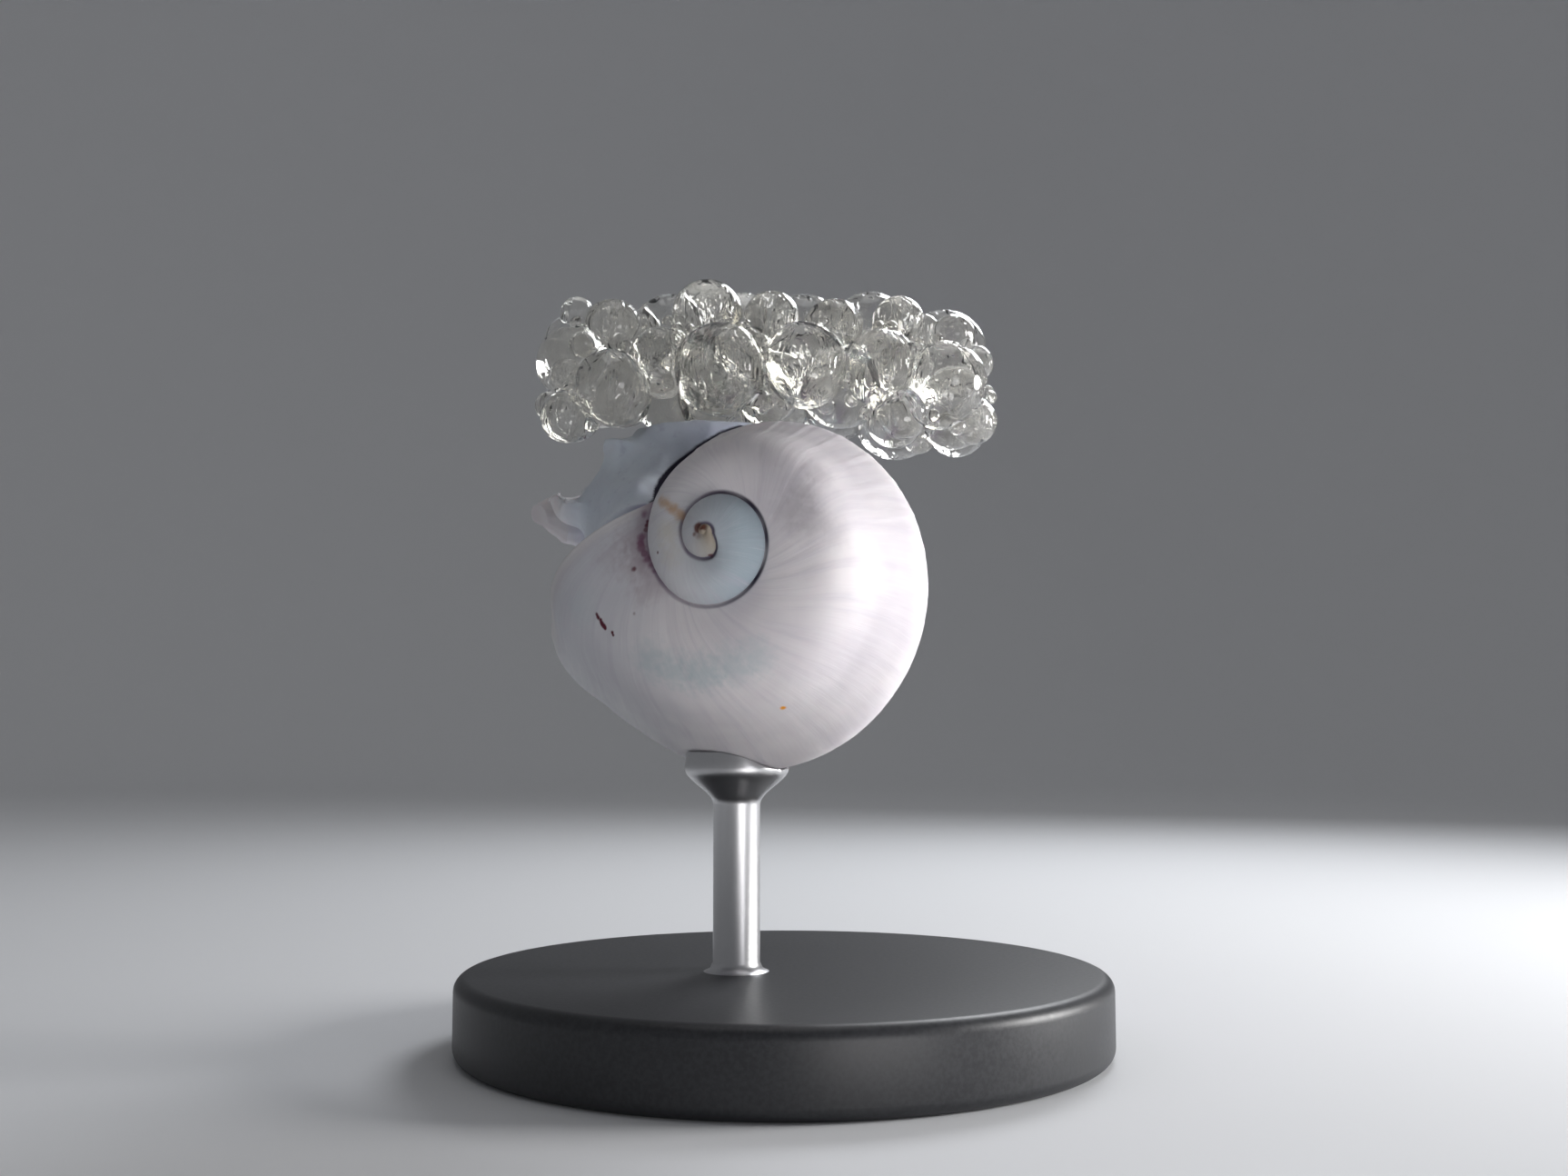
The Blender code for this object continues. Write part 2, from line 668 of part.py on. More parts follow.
def trim(node, cut, kept_side):
    """Takes off what lies past a cut across the raft, with half the gap. kept_side is 1 for the right."""
    size = 40 * MM
    centre = cut + kept_side * (GAP - size) / 2
    bm = bmesh.new()
    bmesh.ops.create_cube(bm, size=size, matrix=Matrix.Translation((centre, 0, RAFT_UNDERSIDE * MM)))
    mesh = bpy.data.meshes.new("trim")
    bm.to_mesh(mesh)
    bm.free()
    cutter = new_cutter("trim", mesh)
    apply_boolean(node, cutter, "DIFFERENCE")
    bpy.data.objects.remove(cutter)


def mucus_pad():
    """The flat pad under the raft that the sole holds."""
    bm = bmesh.new()
    bmesh.ops.create_cone(bm, cap_ends=True, segments=20, radius1=SOLE_RADII[0] * 0.95,
                          radius2=SOLE_RADII[0] * 0.75, depth=MUCUS_PAD_HEIGHT)
    height = RAFT_UNDERSIDE * MM + MUCUS_PAD_HEIGHT / 2
    bmesh.ops.translate(bm, verts=bm.verts[:], vec=(SOLE_CENTRE.x, SOLE_CENTRE.y, height))
    mesh = bpy.data.meshes.new("mucus_pad")
    bm.to_mesh(mesh)
    bm.free()
    return new_object("mucus_pad", mesh)


def stand(shell_node):
    """A round base, and a rod with a dish that the shell rests in."""
    bpy.ops.mesh.primitive_cylinder_add(vertices=96, radius=BASE_RADIUS, depth=BASE_THICKNESS,
                                        location=(0, 0, BASE_THICKNESS / 2))
    base = bpy.context.object
    base.name = "stand_base"
    for collection in list(base.users_collection):
        collection.objects.unlink(base)
    snail.objects.link(base)
    bevel = base.modifiers.new("edge", "BEVEL")
    bevel.width = BASE_BEVEL
    bevel.segments = 2
    bevel.limit_method = "ANGLE"
    low = min((v.co for v in shell_node.data.vertices), key=lambda place: place.z)
    rod_foot = BASE_THICKNESS + GAP
    dish_top = low.z + DISH_HEIGHT * 0.6
    profile = [(0, dish_top), (DISH_RADIUS, dish_top), (DISH_RADIUS, dish_top - DISH_HEIGHT * 0.7),
               (ROD_RADIUS, dish_top - DISH_HEIGHT * 1.5), (ROD_RADIUS, rod_foot), (0, rod_foot)]
    rod = turned("stand_rod", profile, (low.x, low.y, 0.0))
    cut_clear(rod, shell_node)
    return base, rod


def turned(name, profile, place):
    """A body of revolution about an upright line, from (radius, height) down its outer side."""
    bm = bmesh.new()
    verts = [bm.verts.new((radius, 0, height)) for radius, height in profile]
    for here, there in zip(verts, verts[1:]):
        bm.edges.new((here, there))
    mesh = bpy.data.meshes.new(name)
    bm.to_mesh(mesh)
    bm.free()
    thing = new_object(name, mesh)
    screw = thing.modifiers.new("turn", "SCREW")
    screw.steps = screw.render_steps = TURNED_STEPS
    screw.use_merge_vertices = True
    screw.merge_threshold = 1e-5
    graph = bpy.context.evaluated_depsgraph_get()
    mesh = bpy.data.meshes.new_from_object(thing.evaluated_get(graph))
    mesh.transform(Matrix.Translation(place))
    thing.modifiers.remove(screw)
    thing.data = mesh
    return thing


def main():
    shell_node = shell()
    mantle_node = mantle(shell_node)
    foot_node = foot()
    head_node = head()
    cut_clear(head_node, foot_node, mantle_node)
    snout_node = snout()
    cut_clear(snout_node, head_node)
    feelers = [
        tentacle("tentacle_left", (-4.9, 7.4, 21.5), (-5.6, 9.3, 22.1), (-7.3, 10.6, 22.5),
                 (-4.9, 10.6, 22.6)),
        tentacle("tentacle_right", (-5.6, 5.4, 21.8), (-7.1, 4.9, 22.0), (-8.4, 5.0, 22.2),
                 (-7.9, 3.9, 22.3)),
    ]
    folds = [
        epipodium("epipodium_right", [(-6.4, 2.0, 20.5, 1.5, 0.5), (-7.9, 2.1, 20.7, 1.7, 0.36),
                                      (-8.8, 2.2, 20.9, 1.4, 0.3), (-9.1, 2.2, 21.2, 0.9, 0.26)]),
        epipodium("epipodium_left", [(-2.2, 2.6, 21.0, 1.7, 0.5), (-0.9, 2.8, 21.4, 1.9, 0.36),
                                     (0.0, 3.0, 22.0, 1.6, 0.3), (0.4, 3.1, 22.7, 1.0, 0.26)]),
        propodium(),
    ]
    for feeler in feelers:
        cut_clear(feeler, head_node, snout_node)
    for fold in folds:
        cut_clear(fold, foot_node)
    raft_nodes = raft()
    base, rod = stand(shell_node)
    finish(shell_node, *SHELL_FINISH)
    for node in (mantle_node, foot_node, head_node, snout_node, *feelers, *folds):
        finish(node, *FLESH_FINISH)
    for node in raft_nodes:
        finish(node, *FILM_FINISH)
    finish(base, *BASE_FINISH)
    finish(rod, *STEEL_FINISH)


for old in list(bpy.data.objects):
    bpy.data.objects.remove(old)
snail = bpy.data.collections.new("violet_snail")
cutters = bpy.data.collections.new("violet_snail_cutters")
for collection in (snail, cutters):
    bpy.context.scene.collection.children.link(collection)
main()
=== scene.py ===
"""The violet snail and its raft of bubbles: the looks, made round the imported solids. Metres, +Z up."""

import math
import random

import bmesh
import bpy
import numpy as np
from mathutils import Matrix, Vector
from mathutils.bvhtree import BVHTree


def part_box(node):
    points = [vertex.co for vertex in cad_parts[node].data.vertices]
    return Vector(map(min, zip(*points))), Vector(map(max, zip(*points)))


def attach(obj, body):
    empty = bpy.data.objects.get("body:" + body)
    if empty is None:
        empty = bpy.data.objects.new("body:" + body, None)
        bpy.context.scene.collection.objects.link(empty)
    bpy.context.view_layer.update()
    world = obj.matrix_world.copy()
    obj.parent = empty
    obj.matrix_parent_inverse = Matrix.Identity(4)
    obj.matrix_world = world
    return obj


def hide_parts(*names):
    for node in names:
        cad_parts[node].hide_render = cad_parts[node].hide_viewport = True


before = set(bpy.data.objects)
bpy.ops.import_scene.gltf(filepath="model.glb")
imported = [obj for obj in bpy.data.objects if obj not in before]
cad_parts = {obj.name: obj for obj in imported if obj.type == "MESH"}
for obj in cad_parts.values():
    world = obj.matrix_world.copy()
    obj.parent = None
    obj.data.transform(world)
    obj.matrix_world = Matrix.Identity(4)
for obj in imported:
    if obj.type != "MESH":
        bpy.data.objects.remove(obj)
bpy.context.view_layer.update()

MM = 0.001

# The camera stands where the photo's did. The photo is 1726 by 1294 pixels.
PHOTO_WIDTH = 1726
PHOTO_CENTRE = (863, 647)
FOCAL_PIXELS = 1800
SENSOR_WIDTH = 36.0
CAMERA_PLACE = Vector((0.0, -64.04, 12.1)) * MM
CAMERA_PITCH = math.radians(5)

# The studio's floor, a disc that bends up into a round wall, and its sky.
COVE_INNER_RINGS = (0.01, 0.12)
COVE_FLOOR = 0.30
COVE_BEND = 0.30
COVE_WALL = 1.3
COVE_AROUND, COVE_UP = 96, 24
PAPER_COLOUR = (0.76, 0.77, 0.79, 1.0)
SKY_COLOUR = (0.74, 0.77, 0.80, 1.0)
SKY_STRENGTH = 0.08
# The lamps: (name, place, target, size, power in watts, colour).
LAMP_AIM = (-0.001, 0.0, 0.019)
LAMPS = (
    ("key", (0.118, 0.004, 0.033), LAMP_AIM, 0.05, 0.165, (1.0, 0.99, 0.98)),
    ("under", (0.012, -0.028, 0.0015), (0.010, -0.022, 0.03), 0.018, 0.0038, (1.0, 0.98, 0.98)),
    ("low", (0.06, -0.10, 0.020), LAMP_AIM, 0.036, 0.008, (0.98, 0.97, 1.0)),
    ("rim", (0.05, 0.10, 0.10), LAMP_AIM, 0.06, 0.085, (0.95, 0.97, 1.0)),
    ("overhead", (0.0, 0.05, 0.80), (0.0, 0.1, 0.0), 0.60, 0.70, (1.0, 0.99, 0.985)),
)

# The shell's coil and profile, as in the solids. Profile values are shares of LIP_RADIUS: (radius, depth).
APEX = np.array((-2.84, -8.18, 19.0)) * MM
SPIRE_TURNED_LEFT = math.radians(22.2)
SPIRE_TILTED_UP = math.radians(3.2)
LIP_AZIMUTH = math.radians(146.7)
LIP_RADIUS = 11.2 * MM
GROWTH_PER_TURN = 2.766
TURNS = 3.5
SUTURE = (0.299, 0.202)
SHOULDER_PULL = (0.714, 0.157)
WIDEST = (1.0, 0.95)
BASE_LOW = (0.298, 1.366)
COLUMELLA_BEND = (0.15, 1.34)
COLUMELLA_END = (0.03, 1.30)
FLARE_RISE = 0.5
# (share, from, to): the lip flares in two ramps, over these angles back from it.
FLARE_RAMPS = ((0.055, math.radians(-95), math.radians(-30)), (0.082, math.radians(-56), math.radians(-8)))
# (share, depth, reach): the lip is drawn in, and the whole last whorl out, a little round these depths.
LIP_DRAWN_IN = (-0.022, 0.43, 0.15)
WHORL_FILLED = (0.026, 0.65, 0.11)
FILLED_OVER = math.radians(70)
SINUS = 0.81
SINUS_FROM = math.radians(-80)
LIP_NOTCH = 0.15
APEX_TURN, APEX_RUN = -2.36, 0.20
APEX_SHARE = 0.45
MOUTH_CENTRE = np.array((0.62, 0.70))

STEPS_PER_TURN = 480
SHOULDER_STEPS = 64
SIDE_STEPS = 28
BASE_STEPS = 52
LIP_THICKNESS = 0.26 * MM
INSIDE_V = 3.0
SUTURE_WIDTH, SUTURE_DEPTH = 0.10 * MM, 0.07 * MM
# Heights of the growth lines on the shell, in millimetres.
COARSE_LINES, FINE_LINES, WRINKLES = 0.014, 0.004, 0.036

# Small marks on the shell: (column, row) in the photo, radius in millimetres, colour and strength.
MAGENTA, DARK_RED = (0.17, 0.03, 0.11, 1.0), (0.10, 0.004, 0.02, 1.0)
ORANGE, RUST, UMBER = (0.85, 0.36, 0.04, 1.0), (0.58, 0.34, 0.16, 1.0), (0.13, 0.035, 0.02, 1.0)
# The second colour on the next line is the grey of darker growth streaks in part, and a painted shade in
# part.
BLUE_GREY, GREY_STREAK_AND_SHADE = (0.46, 0.56, 0.59, 1.0), (0.46, 0.43, 0.45, 1.0)
# The first colour on the next line is a painted shade, for the soft brown patches beside the suture.
PAINTED_BROWN_SHADE, CREAM = (0.36, 0.28, 0.31, 1.0), (0.62, 0.58, 0.51, 1.0)
SHELL_MARKS = (
    (713, 574, 0.09, DARK_RED, 0.9), (712, 578, 0.10, DARK_RED, 0.9), (711, 583, 0.10, DARK_RED, 0.8),
    (706, 591, 0.17, MAGENTA, 0.8), (705, 597, 0.19, MAGENTA, 0.9), (706, 603, 0.18, MAGENTA, 0.8),
    (709, 609, 0.17, MAGENTA, 0.8), (712, 615, 0.16, MAGENTA, 0.75), (716, 622, 0.14, MAGENTA, 0.7),
    (720, 629, 0.12, MAGENTA, 0.6), (724, 608, 0.06, DARK_RED, 0.8), (699, 600, 0.42, MAGENTA, 0.22),
    (703, 616, 0.42, MAGENTA, 0.22), (709, 566, 0.16, MAGENTA, 0.6), (698, 626, 0.115, DARK_RED, 1.0),
    (657, 676, 0.08, DARK_RED, 1.0), (658, 678, 0.09, DARK_RED, 1.0), (659, 680, 0.10, DARK_RED, 1.0),
    (661, 682, 0.10, DARK_RED, 1.0), (662, 685, 0.10, DARK_RED, 1.0), (663, 687, 0.10, DARK_RED, 1.0),
    (665, 689, 0.10, DARK_RED, 1.0), (666, 691, 0.08, DARK_RED, 1.0), (674, 696, 0.075, DARK_RED, 1.0),
    (675, 699, 0.07, DARK_RED, 1.0), (698, 675, 0.08, DARK_RED, 0.5), (862, 779, 0.115, ORANGE, 1.0),
    (727, 549, 0.24, RUST, 0.5), (732, 553, 0.27, RUST, 0.6), (737, 557, 0.28, RUST, 0.6),
    (742, 561, 0.28, RUST, 0.6), (747, 565, 0.26, RUST, 0.6), (751, 569, 0.22, RUST, 0.5),
    (768, 581, 0.20, UMBER, 0.9), (774, 580, 0.14, UMBER, 0.9), (764, 588, 0.09, UMBER, 0.7),
    (769, 590, 0.14, UMBER, 0.4), (782, 611, 0.10, DARK_RED, 0.8),
    (715, 728, 0.95, BLUE_GREY, 0.5), (742, 738, 0.95, BLUE_GREY, 0.5), (772, 741, 1.0, BLUE_GREY, 0.55),
    (802, 735, 0.95, BLUE_GREY, 0.5), (832, 723, 0.85, BLUE_GREY, 0.45), (640, 668, 1.0, BLUE_GREY, 0.2),
    # Soft grey patches right of the spire: darker growth streaks in part, painted shade in part.
    (872, 562, 0.85, GREY_STREAK_AND_SHADE, 0.45), (884, 541, 0.75, GREY_STREAK_AND_SHADE, 0.4), (900, 520, 0.65, GREY_STREAK_AND_SHADE, 0.35),
    (893, 574, 0.8, GREY_STREAK_AND_SHADE, 0.35), (919, 586, 0.7, GREY_STREAK_AND_SHADE, 0.25),
    # Soft brown patches of painted shade beside the suture.
    (694, 592, 0.9, PAINTED_BROWN_SHADE, 0.4), (698, 622, 0.9, PAINTED_BROWN_SHADE, 0.4),
    (712, 648, 0.8, PAINTED_BROWN_SHADE, 0.35), (672, 612, 0.9, PAINTED_BROWN_SHADE, 0.25),
    (736, 585, 0.6, CREAM, 0.6), (738, 612, 0.6, CREAM, 0.4),
)

# The painted shadow on the flesh in the dark gap beside the body whorl, in the photo's pixels: angles round
# the shell's middle, (angle, width) of the shadow, how far behind the whorl's outline it ends and over how
# far it fades, and the painted shade round it.
SHELL_MIDDLE = (812, 651)
OUTLINE_BETWEEN, OUTLINE_WITHIN = (120.0, 260.0), 0.25
GAP_ANGLES = tuple(range(78, 136))
GAP_BEHIND, GAP_FADE = 22, 12
GAP_WIDTHS = ((78, 0.0), (86, 1.0), (98, 1.5), (108, 2.5), (116, 4.0), (124, 6.0), (129, 5.0), (133, 1.0),
              (135, 0.0))
GAP_EDGE, GAP_SHADE_REACH, GAP_SHADE = 3.0, 16, 0.55

# The flesh's one skin: how far the nodes are grown to meet, and the voxels, easing and drawing in after.
FLESH_GROWN, FLESH_VOXEL, FLESH_EASED, FLESH_DRAWN_IN = 0.45 * MM, 0.09 * MM, 24, 0.36 * MM
FLESH_NODES = ("mantle", "foot", "head", "snout", "tentacle_left", "tentacle_right", "propodium",
               "epipodium_left", "epipodium_right")
# Where the snout and the foot's free lobe lie, and what is drawn in or folded there, in millimetres.
SNOUT_FROM_Y, SNOUT_BELOW_Z = 4.0, 23.2
SNOUT_END_X, SNOUT_END_LENGTH = -8.2, 2.4
SNOUT_TIP_Y, SNOUT_TIP_Z, SNOUT_RISE = 6.5, 21.0, 0.5
LOBE_FROM_X, LOBE_TO_Y, LOBE_FROM_Z, LOBE_SHORTENED = -6.6, 4.2, 22.2, 0.55
EASED_FROM_X, EASED_TO_Y, EASED_FROM_Z, EASED_ROUNDS = -8.4, 5.2, 17.5, 70
FOOT_MIDDLE = (-3.6, 1.9)
WIDE_FOLDS, NARROW_FOLDS, SNOUT_RINGS, FLESH_WRINKLES = 0.02, 0.010, 0.015, 0.006

# The bubbles, in millimetres: (x, y, z, radius) of those at the front, as the photo shows them.
FRONT_BUBBLES = (
    (-2.54, -0.6, 26.3, 1.87), (-6.80, -0.4, 25.6, 1.55), (-8.60, -0.1, 24.5, 1.05),
    (-4.95, 0.8, 26.9, 1.50), (0.85, -0.5, 26.5, 1.75), (2.00, 0.4, 28.2, 1.20), (-0.95, -1.0, 24.9, 0.50),
    (3.90, -0.3, 26.4, 1.60), (6.30, 0.0, 25.8, 1.80), (4.70, -0.6, 24.6, 1.10), (7.55, 0.3, 24.4, 0.95),
    (-3.10, 0.7, 28.8, 1.45), (-6.90, 0.7, 28.2, 1.25), (4.60, 0.6, 28.5, 1.05), (6.80, 0.8, 27.9, 0.95),
    (-0.50, 0.9, 28.7, 1.15),
)
# (bubbles, smallest and largest radius) of those packed in behind them, and how they are packed.
PACKED_SIZES = ((33, 1.2, 1.8), (26, 0.5, 0.85))
PACKED_Y, PACKED_Z = (1.5, 5.1), (25.5, 28.6)
PACKING_ROUNDS = 160
PACKING_SEED = 11
CLOSEST = 0.87
RAFT_LEFT, RAFT_RIGHT = -10.1, 8.5
RAFT_NEAR, RAFT_FAR = -2.4, 6.6
RAFT_TOP, RAFT_UNDERSIDE, RAFT_MIDDLE_Z = 30.2, 24.4, 26.6
# The raft sags by this much at its ends, left and right of these x, and narrows and slopes there.
RAFT_SAG, SAG_LEFT_OF, SAG_RIGHT_OF, SAG_LENGTH = 0.9, -8.0, 2.4, 2.4
RAFT_NARROWED, RAFT_SLOPE = 0.55, 1.6
RAFT_CUTS = (0.35, 4.9)
# Froth lies in valleys between the bubbles nearer than FROTH_BEHIND in y and over FROTH_BESIDE in radius.
FROTH_SEED = 4
FROTH_BEHIND, FROTH_BESIDE = 2.4, 0.8
FROTH_PER_VALLEY = 7
FROTH_SIZES = (0.14, 0.38)
# How far round a valley froth spreads, as an angle, and how deep it may sink into a bubble and its own kind.
FROTH_SPREAD, FROTH_SUNK, FROTH_APART = 1.3, 0.25, 0.9
# The film's thickness and the rounding where it meets a wall, the nearest that a wall comes to a bubble's
# middle, and how little a film may face a neighbour before no wall cuts it.
FILM, FILM_ROUNDING, NEAREST_WALL, EDGE_ON = 0.05, 0.07, 0.15, 0.02

# The stand, in millimetres but for the gap under the shell that rests on it.
BASE_BEVEL = 0.5
ROD_RADIUS, NECK_BELOW_TOP, SWELL_HEIGHT = 0.9, 2.0, 1.35
REST_GAP = 0.06 * MM

GROWTH_RATE = math.log(GROWTH_PER_TURN) / math.tau


def unit(vector):
    return vector / np.linalg.norm(vector)


AXIS = np.array((
    -math.sin(SPIRE_TURNED_LEFT) * math.cos(SPIRE_TILTED_UP),
    -math.cos(SPIRE_TURNED_LEFT) * math.cos(SPIRE_TILTED_UP),
    math.sin(SPIRE_TILTED_UP),
))
ACROSS = unit(np.cross((0, 0, 1), AXIS))
UPRIGHT = np.cross(AXIS, ACROSS)


def smooth_step(value):
    value = np.clip(value, 0.0, 1.0)
    return value * value * (3 - 2 * value)


def drawn_back(turn, outward):
    """How far the shell's edge lags behind at each place, as an angle."""
    near_suture = outward**0.45
    lag = SINUS * np.sin(outward * math.pi / 2) + LIP_NOTCH * 4 * near_suture * (1 - near_suture)
    return lag * np.clip(1 - np.asarray(turn, float) / SINUS_FROM, 0, 1.3)


def tightness(turn):
    """The first whorls are coiled closer than the others, so they are drawn in towards the apex."""
    return 1 - (1 - APEX_SHARE) * smooth_step((APEX_TURN - np.asarray(turn) / math.tau) / APEX_RUN)


def shell_points(turn, shares):
    """Points of the shell. turn is the angle back from the lip, and shares hold (radius, depth)."""
    turn, shares = np.asarray(turn, float), np.asarray(shares, float)
    radius, depth = shares[..., 0], shares[..., 1]
    outward = np.clip((radius - SUTURE[0]) / (1 - SUTURE[0]), 0, 1)
    ramps = [share * smooth_step((turn - start) / (end - start)) for share, start, end in FLARE_RAMPS]
    drawn, filled = (share * np.exp(-((depth - at) / reach) ** 2)
                     for share, at, reach in (LIP_DRAWN_IN, WHORL_FILLED))
    flare = 1 + sum(ramps) * smooth_step(outward / FLARE_RISE) + drawn * ramps[1] / FLARE_RAMPS[1][0]
    flare = flare + filled * smooth_step((turn + math.tau) / FILLED_OVER)
    lag = drawn_back(turn, outward)
    down = np.clip((radius / SUTURE[0] - 1) / (GROWTH_PER_TURN - 1), 0, 1)
    tight = tightness(turn - math.tau) * (1 - down) + tightness(turn) * down
    size = LIP_RADIUS * np.exp(GROWTH_RATE * (turn - lag)) * tight
    azimuth = LIP_AZIMUTH - turn + lag
    radial = np.cos(azimuth)[..., None] * ACROSS + np.sin(azimuth)[..., None] * UPRIGHT
    return APEX + size[..., None] * ((radius * flare)[..., None] * radial - depth[..., None] * AXIS)


def growth_stage(turn, shares):
    """When the shell's edge passed each point, as an angle back from the lip."""
    shares = np.asarray(shares, float)
    outward = np.clip((shares[..., 0] - SUTURE[0]) / (1 - SUTURE[0]), 0, 1)
    return turn + drawn_back(0.0, outward) - drawn_back(turn, outward)


def bezier(points, count, closer_at_first=1.0):
    """Points on a Bezier curve, without its first point. They can lie closer together at its start."""
    rows = []
    for share in np.linspace(0, 1, count + 1)[1:] ** closer_at_first:
        level = [np.array(p, float) for p in points]
        while len(level) > 1:
            level = [a + (b - a) * share for a, b in zip(level, level[1:])]
        rows.append(level[0])
    return np.array(rows)


def whorl_profile():
    """The shoulder's shares, from suture to suture, and the base's, on to the columella."""
    lower = GROWTH_PER_TURN * np.array(SUTURE)
    shoulder = np.vstack([SUTURE, bezier((SUTURE, SHOULDER_PULL, lower), SHOULDER_STEPS, 1.5)])
    side = bezier((lower, (0.87, 0.72), (1.0, 0.80), WIDEST), SIDE_STEPS)
    angle = np.linspace(0, math.pi / 2, BASE_STEPS + 1)[1:, None]
    reach = np.array((BASE_LOW[0] + (WIDEST[0] - BASE_LOW[0]) * np.cos(angle),
                      WIDEST[1] + (BASE_LOW[1] - WIDEST[1]) * np.sin(angle)))
    under = np.hstack(list(reach))
    end = bezier((BASE_LOW, (0.2, 1.366), COLUMELLA_BEND, COLUMELLA_END), 10)
    return shoulder, np.vstack([side, under, end])


def mesh_object(name, points, faces, uvs=None):
    """A smooth-shaded mesh object, linked to the scene."""
    mesh = bpy.data.meshes.new(name)
    mesh.from_pydata([tuple(p) for p in points], [], [tuple(f) for f in faces])
    if uvs is not None:
        layer = mesh.uv_layers.new(name="spiral")
        layer.data.foreach_set("uv", np.asarray(uvs, np.float32).ravel())
    mesh.validate()
    mesh.shade_smooth()
    thing = bpy.data.objects.new(name, mesh)
    bpy.context.scene.collection.objects.link(thing)
    return thing


def in_order(thing):
    """Turns a closed mesh's faces outwards."""
    bm = bmesh.new()
    bm.from_mesh(thing.data)
    bmesh.ops.recalc_face_normals(bm, faces=bm.faces[:])
    bm.to_mesh(thing.data)
    bm.free()


def points_of(mesh):
    """The places and normals of a mesh's vertices."""
    place = np.empty(len(mesh.vertices) * 3, np.float32)
    mesh.vertices.foreach_get("co", place)
    normal = np.empty(len(mesh.vertices) * 3, np.float32)
    mesh.vertices.foreach_get("normal", normal)
    return place.reshape(-1, 3).astype(float), normal.reshape(-1, 3).astype(float)


def move_points(mesh, shift):
    """Moves a mesh's vertices along their normals by a length each."""
    place, normal = points_of(mesh)
    mesh.vertices.foreach_set("co", (place + normal * shift[:, None]).astype(np.float32).ravel())
    mesh.update()


class Nodes:
    """A material's node tree, with short calls for the nodes used here."""

    def __init__(self, name):
        self.material = bpy.data.materials.new(name)
        self.material.use_nodes = True
        self.tree = self.material.node_tree
        self.shader = self.tree.nodes["Principled BSDF"]

    def add(self, kind, inputs=None, **settings):
        made = self.tree.nodes.new("ShaderNode" + kind)
        for key, value in settings.items():
            setattr(made, key, value)
        for key, value in (inputs or {}).items():
            self.put(made.inputs[key], value)
        return made

    def put(self, socket, value):
        if isinstance(value, bpy.types.NodeSocket):
            self.tree.links.new(value, socket)
        else:
            socket.default_value = value

    def set(self, **values):
        for key, value in values.items():
            self.put(self.shader.inputs[key.replace("_", " ")], value)

    def math(self, operation, a, b=0.0, clamp=False):
        made = self.add("Math", {0: a, 1: b}, operation=operation)
        made.use_clamp = clamp
        return made.outputs[0]

    def range(self, value, low, high, to_low=0.0, to_high=1.0, smooth=True):
        made = self.add("MapRange", {"Value": value, "From Min": low, "From Max": high,
                                     "To Min": to_low, "To Max": to_high})
        made.interpolation_type = "SMOOTHSTEP" if smooth else "LINEAR"
        return made.outputs[0]

    def mix(self, amount, a, b, blend="MIX"):
        made = self.add("Mix", {0: amount, 6: a, 7: b}, data_type="RGBA", blend_type=blend)
        return made.outputs[2]

    def noise(self, where, scale, detail=3.0, rough=0.5, distortion=0.0):
        made = self.add("TexNoise", {"Vector": where, "Scale": scale, "Detail": detail,
                                     "Roughness": rough, "Distortion": distortion})
        return made.outputs[0]

    def bump(self, height, distance, strength=1.0, below=None):
        inputs = {"Height": height, "Distance": distance, "Strength": strength}
        if below is not None:
            inputs["Normal"] = below
        return self.add("Bump", inputs).outputs[0]


def rgb(red, green, blue):
    return (red, green, blue, 1.0)


# The shell.
def inner_ring(ring, easing, inset):
    """A closed row of shares with its corners eased, drawn in by a length."""
    ring = np.array(ring)
    for _ in range(easing):
        ring = (np.roll(ring, 1, 0) + 2 * ring + np.roll(ring, -1, 0)) / 4
    along = np.roll(ring, -1, 0) - np.roll(ring, 1, 0)
    along /= np.linalg.norm(along, axis=1)[:, None]
    return ring + np.column_stack([-along[:, 1], along[:, 0]]) * inset / LIP_RADIUS


